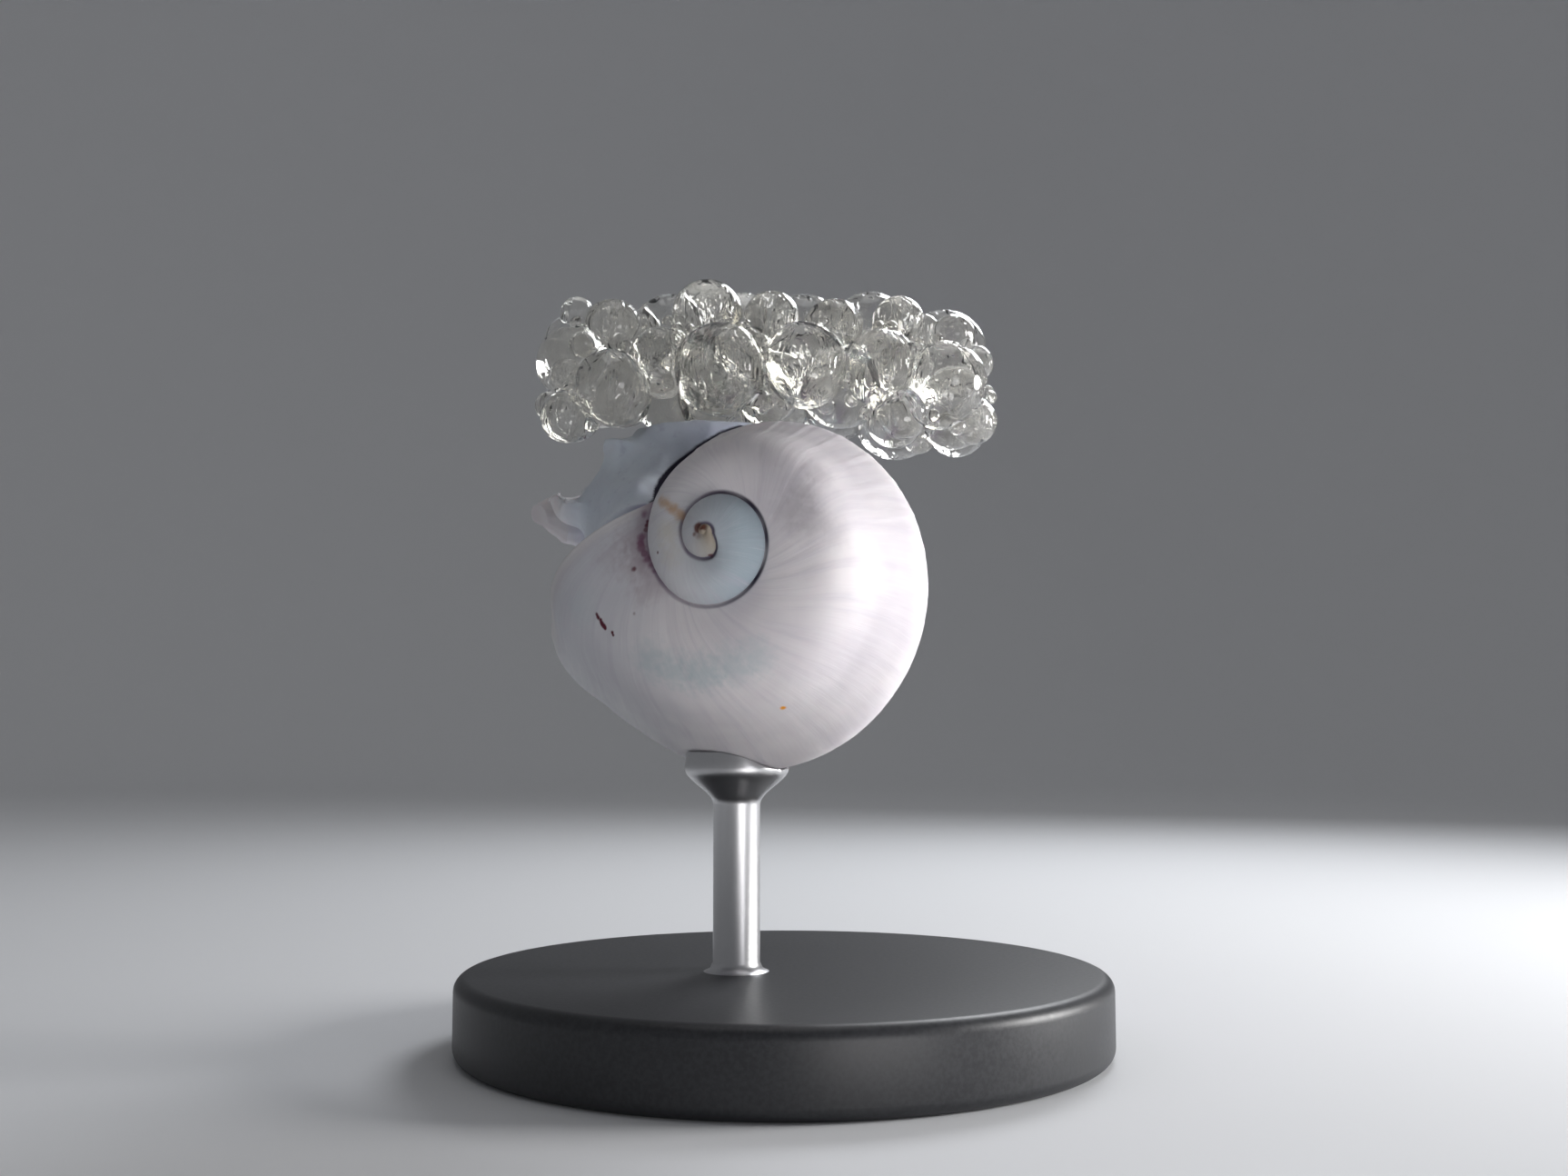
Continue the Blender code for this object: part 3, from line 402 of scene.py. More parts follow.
def build_shell():
    """The shell as one closed skin: whorls, base, rolled lip and the wall inside the mouth."""
    shoulder, base = whorl_profile()
    profile = np.vstack([shoulder, base])
    lengths = np.concatenate([[0], np.cumsum(np.linalg.norm(np.diff(profile, axis=0), axis=1))])
    total = int(TURNS * STEPS_PER_TURN)
    turns = (np.arange(total + 1) - total) * math.tau / STEPS_PER_TURN
    points, faces, uvs = [], [], []
    count = 0
    rows = []
    for i, turn in enumerate(turns):
        with_base = i >= total - STEPS_PER_TURN
        shares = profile if with_base else shoulder
        flat = max(0.0, 1 - 2 * i / STEPS_PER_TURN)
        if flat:
            line = shoulder[0] + (shoulder[-1] - shoulder[0]) * np.linspace(0, 1, len(shoulder))[:, None]
            shares = shares * (1 - flat) + line * flat
        ids = np.arange(count, count + len(shares))
        places = shell_points(turn, shares)
        if i >= STEPS_PER_TURN:
            ids = np.concatenate([[rows[i - STEPS_PER_TURN][0][SHOULDER_STEPS]], ids[:-1]])
            places = places[1:]
        points.extend(places)
        count += len(places)
        stage = growth_stage(turn, shares) / math.tau
        rows.append((ids, np.column_stack([stage, lengths[:len(shares)]])))
    for (ids, uv), (next_ids, next_uv) in zip(rows, rows[1:]):
        for j in range(min(len(ids), len(next_ids)) - 1):
            faces.append((ids[j], ids[j + 1], next_ids[j + 1], next_ids[j]))
            uvs.extend((uv[j], uv[j + 1], next_uv[j + 1], next_uv[j]))

    def close(a, b, c, uv):
        faces.append((a, b, c))
        uvs.extend((uv, uv, uv))

    def point(place):
        points.append(place)
        return len(points) - 1

    tip = point(APEX)
    edge = [rows[i][0][0] for i in range(STEPS_PER_TURN)]
    for here, there in zip(edge, edge[1:]):
        close(tip, here, there, (turns[0] / math.tau, 0.2))
    start = [tip, *rows[0][0]]
    for here, there in zip(start, start[1:]):
        close(edge[-1], here, there, (turns[0] / math.tau, 0.2))

    axis_steps = 24
    low, high = COLUMELLA_END[1], COLUMELLA_END[1] / GROWTH_PER_TURN
    depths = np.linspace(low, high, axis_steps + 1)
    axis = [point(APEX - AXIS * LIP_RADIUS * depth) for depth in depths]
    ends = [ids[-1] for ids, _ in rows[-STEPS_PER_TURN - 1:]]
    span = STEPS_PER_TURN // axis_steps
    for g in range(axis_steps):
        near, far = axis[axis_steps - g], axis[axis_steps - g - 1]
        for i in range(g * span, (g + 1) * span):
            close(ends[i], ends[i + 1], near, (0.0, lengths[-1]))
        close(near, ends[(g + 1) * span], far, (0.0, lengths[-1]))

    inner = rows[total - STEPS_PER_TURN][0][SHOULDER_STEPS + 1:][::-1]
    outline = [*rows[-1][0], *axis, *inner]
    ring = np.vstack([profile, np.column_stack([np.zeros(len(depths)), depths]),
                      profile[SHOULDER_STEPS + 1:][::-1] / GROWTH_PER_TURN])
    thick = LIP_THICKNESS
    inside = [(6, 0.25 * thick, 0.3), (16, 0.9 * thick, 0.2), (40, 1.3 * thick, -2.0),
              (60, 1.6 * thick, -8.0), (80, 2.0 * thick, -18.0), (80, 2.2 * thick, -30.0)]
    mouth_rows = [(np.array(outline), INSIDE_V)]
    for step, (easing, inset, degrees) in enumerate(inside):
        shares = inner_ring(ring, easing, inset)
        first = len(points)
        points.extend(shell_points(np.full(len(shares), math.radians(degrees)), shares))
        mouth_rows.append((np.arange(first, len(points)), INSIDE_V + 0.1 * (step + 1)))
    for reach in (0.6, 0.25):
        first = len(points)
        points.extend(shell_points(np.full(len(shares), math.radians(-30)),
                                   MOUTH_CENTRE + (shares - MOUTH_CENTRE) * reach))
        mouth_rows.append((np.arange(first, len(points)), INSIDE_V + 1))
    for (ids, v), (next_ids, next_v) in zip(mouth_rows, mouth_rows[1:]):
        for j in range(len(ids)):
            k = (j + 1) % len(ids)
            faces.append((ids[j], ids[k], next_ids[k], next_ids[j]))
            uvs.extend(((0, v), (0, v), (0, next_v), (0, next_v)))
    last = mouth_rows[-1][0]
    middle = point(shell_points(math.radians(-30), MOUTH_CENTRE))
    for j in range(len(last)):
        close(last[j], last[(j + 1) % len(last)], middle, (0.0, INSIDE_V + 1))

    thing = mesh_object("shell_skin", points, faces, uvs)
    in_order(thing)
    return thing


def wave_noise(seed, octaves, base):
    """A smooth seeded curve of one number, as a sum of sines."""
    draw = random.Random(seed)
    parts = []
    for octave in range(octaves):
        rate = base * 1.7**octave * draw.uniform(0.85, 1.2)
        parts.append((rate, draw.uniform(0, math.tau), 0.72**octave))
    whole = sum(size for _, _, size in parts)
    return lambda x: sum(size * np.sin(rate * x + phase) for rate, phase, size in parts) / whole


def carve_growth_lines(thing):
    """Raises growth lines on the whorls and presses in the suture's groove."""
    mesh = thing.data
    count = len(mesh.vertices)
    uv = np.empty(len(mesh.loops) * 2, np.float32)
    mesh.uv_layers["spiral"].data.foreach_get("uv", uv)
    uv = uv.reshape(-1, 2)
    vertex = np.empty(len(mesh.loops), np.int32)
    mesh.loops.foreach_get("vertex_index", vertex)
    stage, along = np.zeros(count), np.full(count, 9.0)
    stage[vertex] = uv[:, 0]
    np.minimum.at(along, vertex, uv[:, 1])
    size = np.exp(GROWTH_RATE * math.tau * np.minimum(stage, 0.0))
    angle = stage * math.tau
    coarse = wave_noise(3, 5, 9.0)(angle)
    fine = wave_noise(8, 6, 46.0)(angle + 0.02 * np.sin(7 * along))
    wrinkle = np.maximum(0, wave_noise(21, 4, 30.0)(angle + 0.05 * np.sin(5 * along + 1)))
    lower = smooth_step((along - 0.5) / 0.4) * smooth_step((2.1 - along) / 0.5)
    fade = smooth_step(along / 0.12) * (along < INSIDE_V - 0.5)
    lower *= smooth_step((-0.34 - stage) / 0.16)
    lift = (COARSE_LINES * coarse + FINE_LINES * fine + WRINKLES * wrinkle * lower) * MM * fade
    groove = -SUTURE_DEPTH * np.exp(-(along * size * LIP_RADIUS / SUTURE_WIDTH) ** 2)
    move_points(mesh, lift * size**0.7 + groove * np.minimum(1, 4 * size))


# The camera and the stage.
def add_camera():
    data = bpy.data.cameras.new("camera")
    data.sensor_width = SENSOR_WIDTH
    data.lens = SENSOR_WIDTH * FOCAL_PIXELS / PHOTO_WIDTH
    data.clip_start = 1 * MM
    data.clip_end = 10.0
    camera = bpy.data.objects.new("camera", data)
    camera.location = CAMERA_PLACE
    camera.rotation_euler = (math.pi / 2 + CAMERA_PITCH, 0, 0)
    bpy.context.scene.collection.objects.link(camera)
    bpy.context.scene.camera = camera


def photo_ray(column, row):
    """The direction from the camera through a pixel of the photo."""
    right = Vector((1, 0, 0))
    forward = Vector((0, math.cos(CAMERA_PITCH), math.sin(CAMERA_PITCH)))
    up = Vector((0, -math.sin(CAMERA_PITCH), math.cos(CAMERA_PITCH)))
    across = (column - PHOTO_CENTRE[0]) / FOCAL_PIXELS
    above = (PHOTO_CENTRE[1] - row) / FOCAL_PIXELS
    return (forward + right * across + up * above).normalized()


def area_light(name, place, target, size, power, colour):
    data = bpy.data.lights.new(name, "AREA")
    data.shape = "DISK"
    data.size = size
    data.energy = power
    data.color = colour
    light = bpy.data.objects.new(name, data)
    light.location = place
    light.visible_camera = False
    light.rotation_euler = (Vector(target) - Vector(place)).to_track_quat("-Z", "Y").to_euler()
    bpy.context.scene.collection.objects.link(light)


def add_stage():
    """A pale floor that curves up all round into a wall, a soft sky and five soft lamps."""
    bpy.context.scene.view_settings.view_transform = "Standard"
    world = bpy.data.worlds.new("studio")
    bpy.context.scene.world = world
    world.use_nodes = True
    background = world.node_tree.nodes["Background"]
    background.inputs["Color"].default_value = SKY_COLOUR
    background.inputs["Strength"].default_value = SKY_STRENGTH
    for lamp in LAMPS:
        area_light(*lamp)
    rows = [(radius, 0.0) for radius in COVE_INNER_RINGS]
    rows += [(COVE_FLOOR + COVE_BEND * math.sin(a), COVE_BEND * (1 - math.cos(a)))
             for a in np.linspace(0, math.pi / 2, COVE_UP)]
    rows.append((COVE_FLOOR + COVE_BEND, COVE_WALL))
    around = COVE_AROUND
    points = [(radius * math.cos(math.tau * i / around), radius * math.sin(math.tau * i / around), height)
              for radius, height in rows for i in range(around)]
    faces = [range(around)]
    for row in range(0, (len(rows) - 1) * around, around):
        for i in range(around):
            j = (i + 1) % around
            faces.append((row + i, row + around + i, row + around + j, row + j))
    floor = mesh_object("floor", points, faces)
    paint = Nodes("floor_paper")
    paint.set(Base_Color=PAPER_COLOUR, Roughness=0.9)
    floor.data.materials.append(paint.material)


def wear(thing, material):
    """Gives a piece its one material."""
    thing.data.materials.clear()
    thing.data.materials.append(material)


def marks_on(thing):
    """Where the photo's small marks lie on the shell: (place, radius, colour, strength) for each."""
    tree = BVHTree.FromObject(thing, bpy.context.evaluated_depsgraph_get())
    marks = []
    for column, row, radius, colour, strength in SHELL_MARKS:
        place = tree.ray_cast(CAMERA_PLACE, photo_ray(column, row))[0]
        if place is not None:
            marks.append((place, radius * MM, colour, strength))
    return marks


def shell_material(thing):
    """Pale lilac-white above, violet below, with growth lines and a dark line in the suture."""
    m = Nodes("shell_skin")
    spiral = m.add("UVMap", uv_map="spiral").outputs[0]
    split = m.add("SeparateXYZ", {0: spiral})
    stage, along = split.outputs[0], split.outputs[1]
    solid = m.add("TexCoord").outputs["Object"]
    streaks = m.add("Mapping", {"Vector": spiral, "Scale": (70.0, 1.1, 1.0)}).outputs[0]
    fine_streaks = m.add("Mapping", {"Vector": spiral, "Scale": (260.0, 2.0, 1.0)}).outputs[0]
    clouds = m.noise(solid, 210.0, 3.0, 0.55)
    wide = m.noise(streaks, 1.0, 4.0, 0.6)
    narrow = m.noise(fine_streaks, 1.0, 3.0, 0.6)

    white, lilac = rgb(0.84, 0.80, 0.81), rgb(0.70, 0.66, 0.70)
    colour = m.mix(m.range(clouds, 0.35, 0.68), white, lilac)
    lip = m.range(stage, -0.24, -0.02)
    colour = m.mix(m.math("MULTIPLY", lip, 0.6), colour, rgb(0.62, 0.65, 0.69))
    # A lighter cream band along the lip's edge: the lip's own colour in part, a painted highlight in part.
    rim = m.range(stage, -0.022, -0.004)
    colour = m.mix(m.math("MULTIPLY", rim, 0.5), colour, rgb(0.74, 0.70, 0.68))
    spire = m.range(stage, -1.05, -0.75, 1.0, 0.0)
    solid_place = m.add("SeparateXYZ", {0: solid})
    eastward = m.range(solid_place.outputs[0], -4.2 * MM, -1.2 * MM)
    bluer = m.math("ADD", m.math("MULTIPLY", eastward, 0.55), 0.28)
    colour = m.mix(m.math("MULTIPLY", spire, bluer), colour, rgb(0.33, 0.43, 0.49))
    colour = m.mix(m.range(wide, 0.45, 0.75, 0.0, 0.36), colour, rgb(0.54, 0.50, 0.58))
    colour = m.mix(m.range(narrow, 0.5, 0.8, 0.0, 0.2), colour, rgb(0.90, 0.89, 0.90))
    wander = m.math("MULTIPLY", m.math("SUBTRACT", wide, 0.5), 0.35)
    under = m.range(m.math("ADD", along, wander), 1.56, 2.02)
    violet = m.mix(m.range(wide, 0.3, 0.7), rgb(0.16, 0.06, 0.30), rgb(0.27, 0.13, 0.42))
    colour = m.mix(under, colour, violet)
    young = m.range(stage, -2.40, -1.95, 1.0, 0.0)
    colour = m.mix(m.math("MULTIPLY", young, 0.85), colour, rgb(0.33, 0.27, 0.19))

    size = m.math("POWER", GROWTH_PER_TURN, stage)
    distance = m.math("MULTIPLY", m.math("MULTIPLY", along, size), LIP_RADIUS)
    patchy = m.range(m.noise(solid, 420.0, 2.0), 0.35, 0.6, 0.55, 1.0)
    southward = m.range(solid_place.outputs[2], 17.4 * MM, 16.8 * MM)
    strength = m.math("MULTIPLY", m.range(distance, 0.06 * MM, 0.19 * MM, 1.0, 0.0), patchy)
    strength = m.math("MULTIPLY", strength, m.math("ADD", m.math("MULTIPLY", eastward, 0.35), 0.62))
    strength = m.math("MULTIPLY", strength, m.range(stage, -2.02, -1.86))
    strength = m.math("MULTIPLY", strength, m.math("SUBTRACT", 1.0, m.math("MULTIPLY", southward, 0.35)))
    ink = m.mix(eastward, rgb(0.12, 0.045, 0.15), rgb(0.015, 0.010, 0.035))
    colour = m.mix(strength, colour, ink)
    # Painted shade: a brownish darkening beside the suture, near the lip.
    suture_painted_shade = m.range(distance, 0.12 * MM, 0.80 * MM, 0.55, 0.0)
    colour = m.mix(m.math("MULTIPLY", suture_painted_shade, lip), colour, rgb(0.33, 0.21, 0.28))
    ragged = m.math("SUBTRACT", m.noise(solid, 3500.0, 2.0), 0.5)
    for place, radius, mark, full in marks_on(thing):
        apart = m.add("VectorMath", {0: solid, 1: place}, operation="DISTANCE").outputs["Value"]
        apart = m.math("ADD", apart, m.math("MULTIPLY", ragged, 1.1 * radius))
        amount = m.range(apart, 0.4 * radius if full > 0.7 else 0.0, 1.25 * radius, full, 0.0)
        colour = m.mix(amount, colour, mark)
    inside = m.range(along, INSIDE_V - 0.2, INSIDE_V + 0.2)
    colour = m.mix(inside, colour, rgb(0.30, 0.17, 0.42))
    height = m.math("ADD", m.math("MULTIPLY", wide, 0.7), m.math("MULTIPLY", narrow, 0.3))
    m.set(Base_Color=colour, Roughness=m.range(clouds, 0.3, 0.7, 0.50, 0.60), Specular_IOR_Level=0.18,
          Subsurface_Weight=0.2, Subsurface_Radius=(1.0, 0.7, 0.8), Subsurface_Scale=0.0006,
          Normal=m.bump(height, 0.00005, 0.4))
    return m.material


# The flesh.
def join_nodes(names):
    """One bmesh of several nodes, each with its own closed surface."""
    bm = bmesh.new()
    for name in names:
        bm.from_mesh(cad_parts[name].data)
    bmesh.ops.remove_doubles(bm, verts=bm.verts[:], dist=2e-6)
    bmesh.ops.recalc_face_normals(bm, faces=bm.faces[:])
    return bm


def move_out(bm, distance):
    """Moves a surface along its own normals, a little further at sharp corners."""
    bm.normal_update()
    moves = [v.normal * distance * min(v.calc_shell_factor(), 1.4) for v in bm.verts]
    for vertex, move in zip(bm.verts, moves):
        vertex.co += move


def skin_over(name, nodes, grow, voxel, ease, draw_in):
    """One smooth skin over several nodes: they are grown till they meet, joined and drawn back."""
    bm = join_nodes(nodes)
    bmesh.ops.subdivide_edges(bm, edges=bm.edges[:], cuts=1, use_grid_fill=True)
    move_out(bm, grow)
    mesh = bpy.data.meshes.new(name)
    bm.to_mesh(mesh)
    bm.free()
    rough = bpy.data.objects.new(name, mesh)
    bpy.context.scene.collection.objects.link(rough)
    remesh = rough.modifiers.new("skin", "REMESH")
    remesh.mode = "VOXEL"
    remesh.voxel_size = voxel
    smooth = rough.modifiers.new("ease", "SMOOTH")
    smooth.factor = 0.6
    smooth.iterations = ease
    graph = bpy.context.evaluated_depsgraph_get()
    skin = bpy.data.meshes.new_from_object(rough.evaluated_get(graph))
    bpy.data.objects.remove(rough)
    bm = bmesh.new()
    bm.from_mesh(skin)
    move_out(bm, -draw_in)
    bm.to_mesh(skin)
    bm.free()
    skin.shade_smooth()
    thing = bpy.data.objects.new(name, skin)
    bpy.context.scene.collection.objects.link(thing)
    return thing


def ease_surface(mesh, weight, rounds):
    """Evens out a surface where its vertices have weight."""
    place, _ = points_of(mesh)
    count = len(place)
    edges = np.empty(len(mesh.edges) * 2, np.int32)
    mesh.edges.foreach_get("vertices", edges)
    one, other = edges.reshape(-1, 2).T
    neighbours = (np.bincount(one, minlength=count) + np.bincount(other, minlength=count))[:, None]
    for _ in range(rounds):
        total = np.column_stack([np.bincount(one, place[other, k], count)
                                 + np.bincount(other, place[one, k], count) for k in range(3)])
        place += 0.6 * weight[:, None] * (total / neighbours - place)
    mesh.vertices.foreach_set("co", place.astype(np.float32).ravel())
    mesh.update()


def shape_flesh(thing):
    """Draws the snout's end to a point up and to the left, and eases the foot's joints away."""
    mesh = thing.data
    place, _ = points_of(mesh)
    x, y, z = (place / MM).T
    snout = smooth_step((y - SNOUT_FROM_Y) / 0.8) * smooth_step((SNOUT_BELOW_Z - z) / 0.5)
    end = snout * np.clip((SNOUT_END_X - x) / SNOUT_END_LENGTH, 0, 1)
    z = z + SNOUT_RISE * end**2 - 0.42 * end**1.5 * (z - SNOUT_TIP_Z)
    y = y - 0.3 * end**1.5 * (y - SNOUT_TIP_Y)
    x = x + 0.28 * end * np.clip(21.2 - z, 0, 2)
    lobe = smooth_step((z - LOBE_FROM_Z) / 0.6) * (y < LOBE_TO_Y) * (x < LOBE_FROM_X)
    x = x - LOBE_SHORTENED * lobe * (x - LOBE_FROM_X)
    place = np.column_stack([x, y, z]) * MM
    mesh.vertices.foreach_set("co", place.astype(np.float32).ravel())
    mesh.update()
    near = smooth_step((x - EASED_FROM_X) / 0.8) * smooth_step((EASED_TO_Y - y) / 0.8)
    ease_surface(mesh, near * smooth_step(z - EASED_FROM_Z), EASED_ROUNDS)


def shell_outline(shell_skin):
    """How far the shell reaches from its middle in the photo's plane, in pixels, at each of GAP_ANGLES."""
    tree = BVHTree.FromObject(shell_skin, bpy.context.evaluated_depsgraph_get())
    reaches = []
    for angle in np.radians(GAP_ANGLES):
        low, high = OUTLINE_BETWEEN
        while high - low > OUTLINE_WITHIN:
            reach = (low + high) / 2
            ray = photo_ray(SHELL_MIDDLE[0] + reach * math.cos(angle),
                            SHELL_MIDDLE[1] - reach * math.sin(angle))
            if tree.ray_cast(CAMERA_PLACE, ray)[0] is None:
                high = reach
            else:
                low = reach
        reaches.append(low)
    return np.array(reaches)


def paint_gap_shadow(thing, shell_skin):
    """Stores a painted shadow on the flesh in the narrow gap beside the body whorl, and painted shade round
    it, as the photo shows it.
    """
    place, normal = points_of(thing.data)
    ray = place - np.array(CAMERA_PLACE)
    ahead = ray[:, 1] * math.cos(CAMERA_PITCH) + ray[:, 2] * math.sin(CAMERA_PITCH)
    above = ray[:, 2] * math.cos(CAMERA_PITCH) - ray[:, 1] * math.sin(CAMERA_PITCH)
    column = PHOTO_CENTRE[0] + FOCAL_PIXELS * ray[:, 0] / ahead - SHELL_MIDDLE[0]
    row = SHELL_MIDDLE[1] - PHOTO_CENTRE[1] + FOCAL_PIXELS * above / ahead
    angle = np.degrees(np.arctan2(row, column))
    beyond = np.hypot(row, column) - np.interp(angle, GAP_ANGLES, shell_outline(shell_skin))
    width = np.interp(angle, *zip(*GAP_WIDTHS))
    seen = (np.sum(ray * normal, axis=1) < 0) * (angle > GAP_ANGLES[0]) * (angle < GAP_ANGLES[-1])
    seen = seen * smooth_step((beyond + GAP_BEHIND) / GAP_FADE)
    # The painted shadow's near-black core, and the painted shade that fades out from it.
    dark = 1 - smooth_step((beyond - width) / GAP_EDGE)
    shade = GAP_SHADE * np.exp(-np.maximum(beyond, 0) / GAP_SHADE_REACH) * np.minimum(1, width / GAP_EDGE)
    layer = thing.data.attributes.new("gap", "FLOAT", "POINT")
    layer.data.foreach_set("value", (seen * np.maximum(dark * (width > 0), shade)).astype(np.float32))


def fold_flesh(thing):
    """Soft lengthwise folds on the foot, rings on the snout and small wrinkles all over."""
    mesh = thing.data
    place, _ = points_of(mesh)
    x, y, z = (place / MM).T
    around = np.arctan2(y - FOOT_MIDDLE[1], x - FOOT_MIDDLE[0])
    upward = smooth_step((z - 18.5) / 2.0) * smooth_step((25.0 - z) / 0.8)
    folds = WIDE_FOLDS * np.sin(9 * around + 0.8 * np.sin(0.9 * z) + 0.5) * upward
    folds += NARROW_FOLDS * np.sin(21 * around + 1.7 * np.sin(0.7 * z + 1)) * upward
    snout = smooth_step((-6.3 - x) / 1.0) * smooth_step((y - 4.6) / 0.8) * (z < 23)
    folds = folds * (1 - snout) + SNOUT_RINGS * np.sin(9.0 * x + 0.6 * np.sin(2 * z)) * snout
    wrinkle = FLESH_WRINKLES * np.sin(5.1 * x + 2 * np.sin(3.3 * y + 1))
    move_points(mesh, (folds + wrinkle * np.sin(6.3 * z + 2 * np.sin(2.7 * x))) * MM)


def flesh_material():
    """Soft, faintly see-through flesh: pale blue-grey, more violet towards the head's far side, and a
    painted shadow beside the body whorl.
    """
    m = Nodes("flesh_skin")
    solid = m.add("TexCoord").outputs["Object"]
    clouds = m.noise(solid, 330.0, 4.0, 0.6)
    specks = m.noise(solid, 2600.0, 3.0, 0.6)
    colour = m.mix(m.range(clouds, 0.3, 0.7), rgb(0.80, 0.86, 0.93), rgb(0.68, 0.73, 0.81))
    colour = m.mix(m.range(specks, 0.55, 0.75, 0.0, 0.2), colour, rgb(0.28, 0.24, 0.40))
    split = m.add("SeparateXYZ", {0: solid})
    behind = m.range(split.outputs[1], 4.5 * MM, 8.0 * MM)
    colour = m.mix(m.math("MULTIPLY", behind, 0.5), colour, rgb(0.25, 0.20, 0.36))
    tips = m.range(split.outputs[0], -7.8 * MM, -9.6 * MM)
    colour = m.mix(m.math("MULTIPLY", tips, 0.7), colour, rgb(0.86, 0.79, 0.77))
    # Painted shadow: the flesh turns near black in the gap beside the body whorl, with painted shade round
    # it.
    gap = m.add("Attribute", attribute_name="gap").outputs["Fac"]
    colour = m.mix(m.math("POWER", gap, 1.3), colour, rgb(0.012, 0.009, 0.02))
    m.set(Base_Color=colour, Roughness=0.60, Subsurface_Weight=0.4, Subsurface_Radius=(1.0, 0.75, 0.8),
          Subsurface_Scale=0.0004, Specular_IOR_Level=0.15, Normal=m.bump(specks, 0.00002, 0.6))
    return m.material


# The raft.
def ease(value):
    """The smooth step of one number."""
    value = min(1.0, max(0.0, value))
    return value * value * (3 - 2 * value)


def raft_underside(x):
    """The height of the raft's underside, which hangs lower at both ends."""
    beyond = max(SAG_LEFT_OF - x, x - SAG_RIGHT_OF)
    return RAFT_UNDERSIDE - RAFT_SAG * ease(beyond / SAG_LENGTH)


def packed_bubbles():
    """[x, y, z, radius] of every bubble: those listed, and those packed in behind them."""
    draw = random.Random(PACKING_SEED)
    placed = [list(bubble) for bubble in FRONT_BUBBLES]
    for count, smallest, largest in PACKED_SIZES:
        for _ in range(count):
            radius = draw.uniform(smallest, largest)
            x = draw.uniform(RAFT_LEFT + 2, RAFT_RIGHT - 2)
            placed.append([x, draw.uniform(*PACKED_Y), draw.uniform(*PACKED_Z), radius])
    listed = len(FRONT_BUBBLES)
    for _ in range(PACKING_ROUNDS):
        for i in range(listed, len(placed)):
            for j in range(i):
                push_apart(placed[i], placed[j], j < listed)
        for bubble in placed[listed:]:
            keep_in_raft(bubble)
    return placed


def push_apart(one, other, other_stays):
    """Moves a bubble and its neighbour apart, the smaller one further, till they only press together."""
    apart = [one[k] - other[k] for k in range(3)]
    distance = math.sqrt(sum(step * step for step in apart)) or 1e-6
    short = CLOSEST * (one[3] + other[3]) - distance
    if short <= 0:
        return
    share = 1.0 if other_stays else other[3] ** 2 / (one[3] ** 2 + other[3] ** 2)
    for k in range(3):
        step = apart[k] / distance * short
        one[k] += step * share
        other[k] -= step * (1 - share)


def keep_in_raft(bubble):
    """Draws a bubble in a little, and keeps it in the raft's rounded box."""
    x, y, z, radius = bubble
    end = abs(2 * x - RAFT_LEFT - RAFT_RIGHT) / (RAFT_RIGHT - RAFT_LEFT)
    middle = (RAFT_NEAR + RAFT_FAR) / 2
    half = (RAFT_FAR - RAFT_NEAR) / 2 * (1 - RAFT_NARROWED * end**3)
    top = RAFT_TOP - RAFT_SLOPE * max(0.0, end - 0.5)
    bubble[0] = min(max(x, RAFT_LEFT + radius), RAFT_RIGHT - radius)
    bubble[1] = min(max(y + 0.01 * (middle - y), middle - half + radius), middle + half - radius)
    bubble[2] = max(min(z + 0.012 * (RAFT_MIDDLE_Z - z), top - radius), raft_underside(x) + radius)


def foam_cell(centre, radius, others, detail):
    """A bubble's points and faces: a ball that is flat where it meets its neighbours."""
    bm = bmesh.new()
    bmesh.ops.create_icosphere(bm, subdivisions=detail, radius=1.0)
    ways = np.array([v.co for v in bm.verts])
    faces = [[v.index for v in f.verts] for f in bm.faces]
    bm.free()
    total = np.full(len(ways), math.exp(-radius / FILM_ROUNDING))
    for other, other_radius in others:
        apart = other - centre
        distance = np.linalg.norm(apart)
        if distance < radius + other_radius:
            wall = (distance**2 + radius**2 - other_radius**2) / (2 * distance) - FILM / 2
            facing = ways @ (apart / distance)
            limit = np.where(facing > EDGE_ON, max(wall, NEAREST_WALL) / np.maximum(facing, EDGE_ON), 1e3)
            total += np.exp(-np.minimum(limit, 50) / FILM_ROUNDING)
    reach = -FILM_ROUNDING * np.log(total)
    return (centre + ways * reach[:, None]) * MM, faces


def froth(bubbles):
    """Tiny bubbles in the valleys between the large ones at the raft's front."""
    draw = random.Random(FROTH_SEED)
    tiny = []
    front = [bubble for bubble in bubbles if bubble[0][1] < FROTH_BEHIND and bubble[1] > FROTH_BESIDE]
    for i, (one, one_radius) in enumerate(front):
        for other, other_radius in front[:i]:
            apart = other - one
            distance = np.linalg.norm(apart)
            along = apart / distance
            wall = (distance**2 + one_radius**2 - other_radius**2) / (2 * distance)
            if not 0 < wall < one_radius:
                continue
            forward = unit(np.array((0.0, -1.0, 0.0)) + along[1] * along)
            sideways = np.cross(along, forward)
            for _ in range(FROTH_PER_VALLEY):
                angle, radius = draw.uniform(-FROTH_SPREAD, FROTH_SPREAD), draw.uniform(*FROTH_SIZES)
                reach = math.sqrt(one_radius**2 - wall**2) + 0.8 * radius
                outward = forward * math.cos(angle) + sideways * math.sin(angle)
                centre = one + along * wall + reach * outward
                clear = all(np.linalg.norm(centre - other) > size + FROTH_SUNK * radius
                            for other, size in bubbles)
                if clear and all(np.linalg.norm(centre - other) > FROTH_APART * (size + radius)
                                 for other, size in tiny):
                    tiny.append((centre, radius))
    return tiny


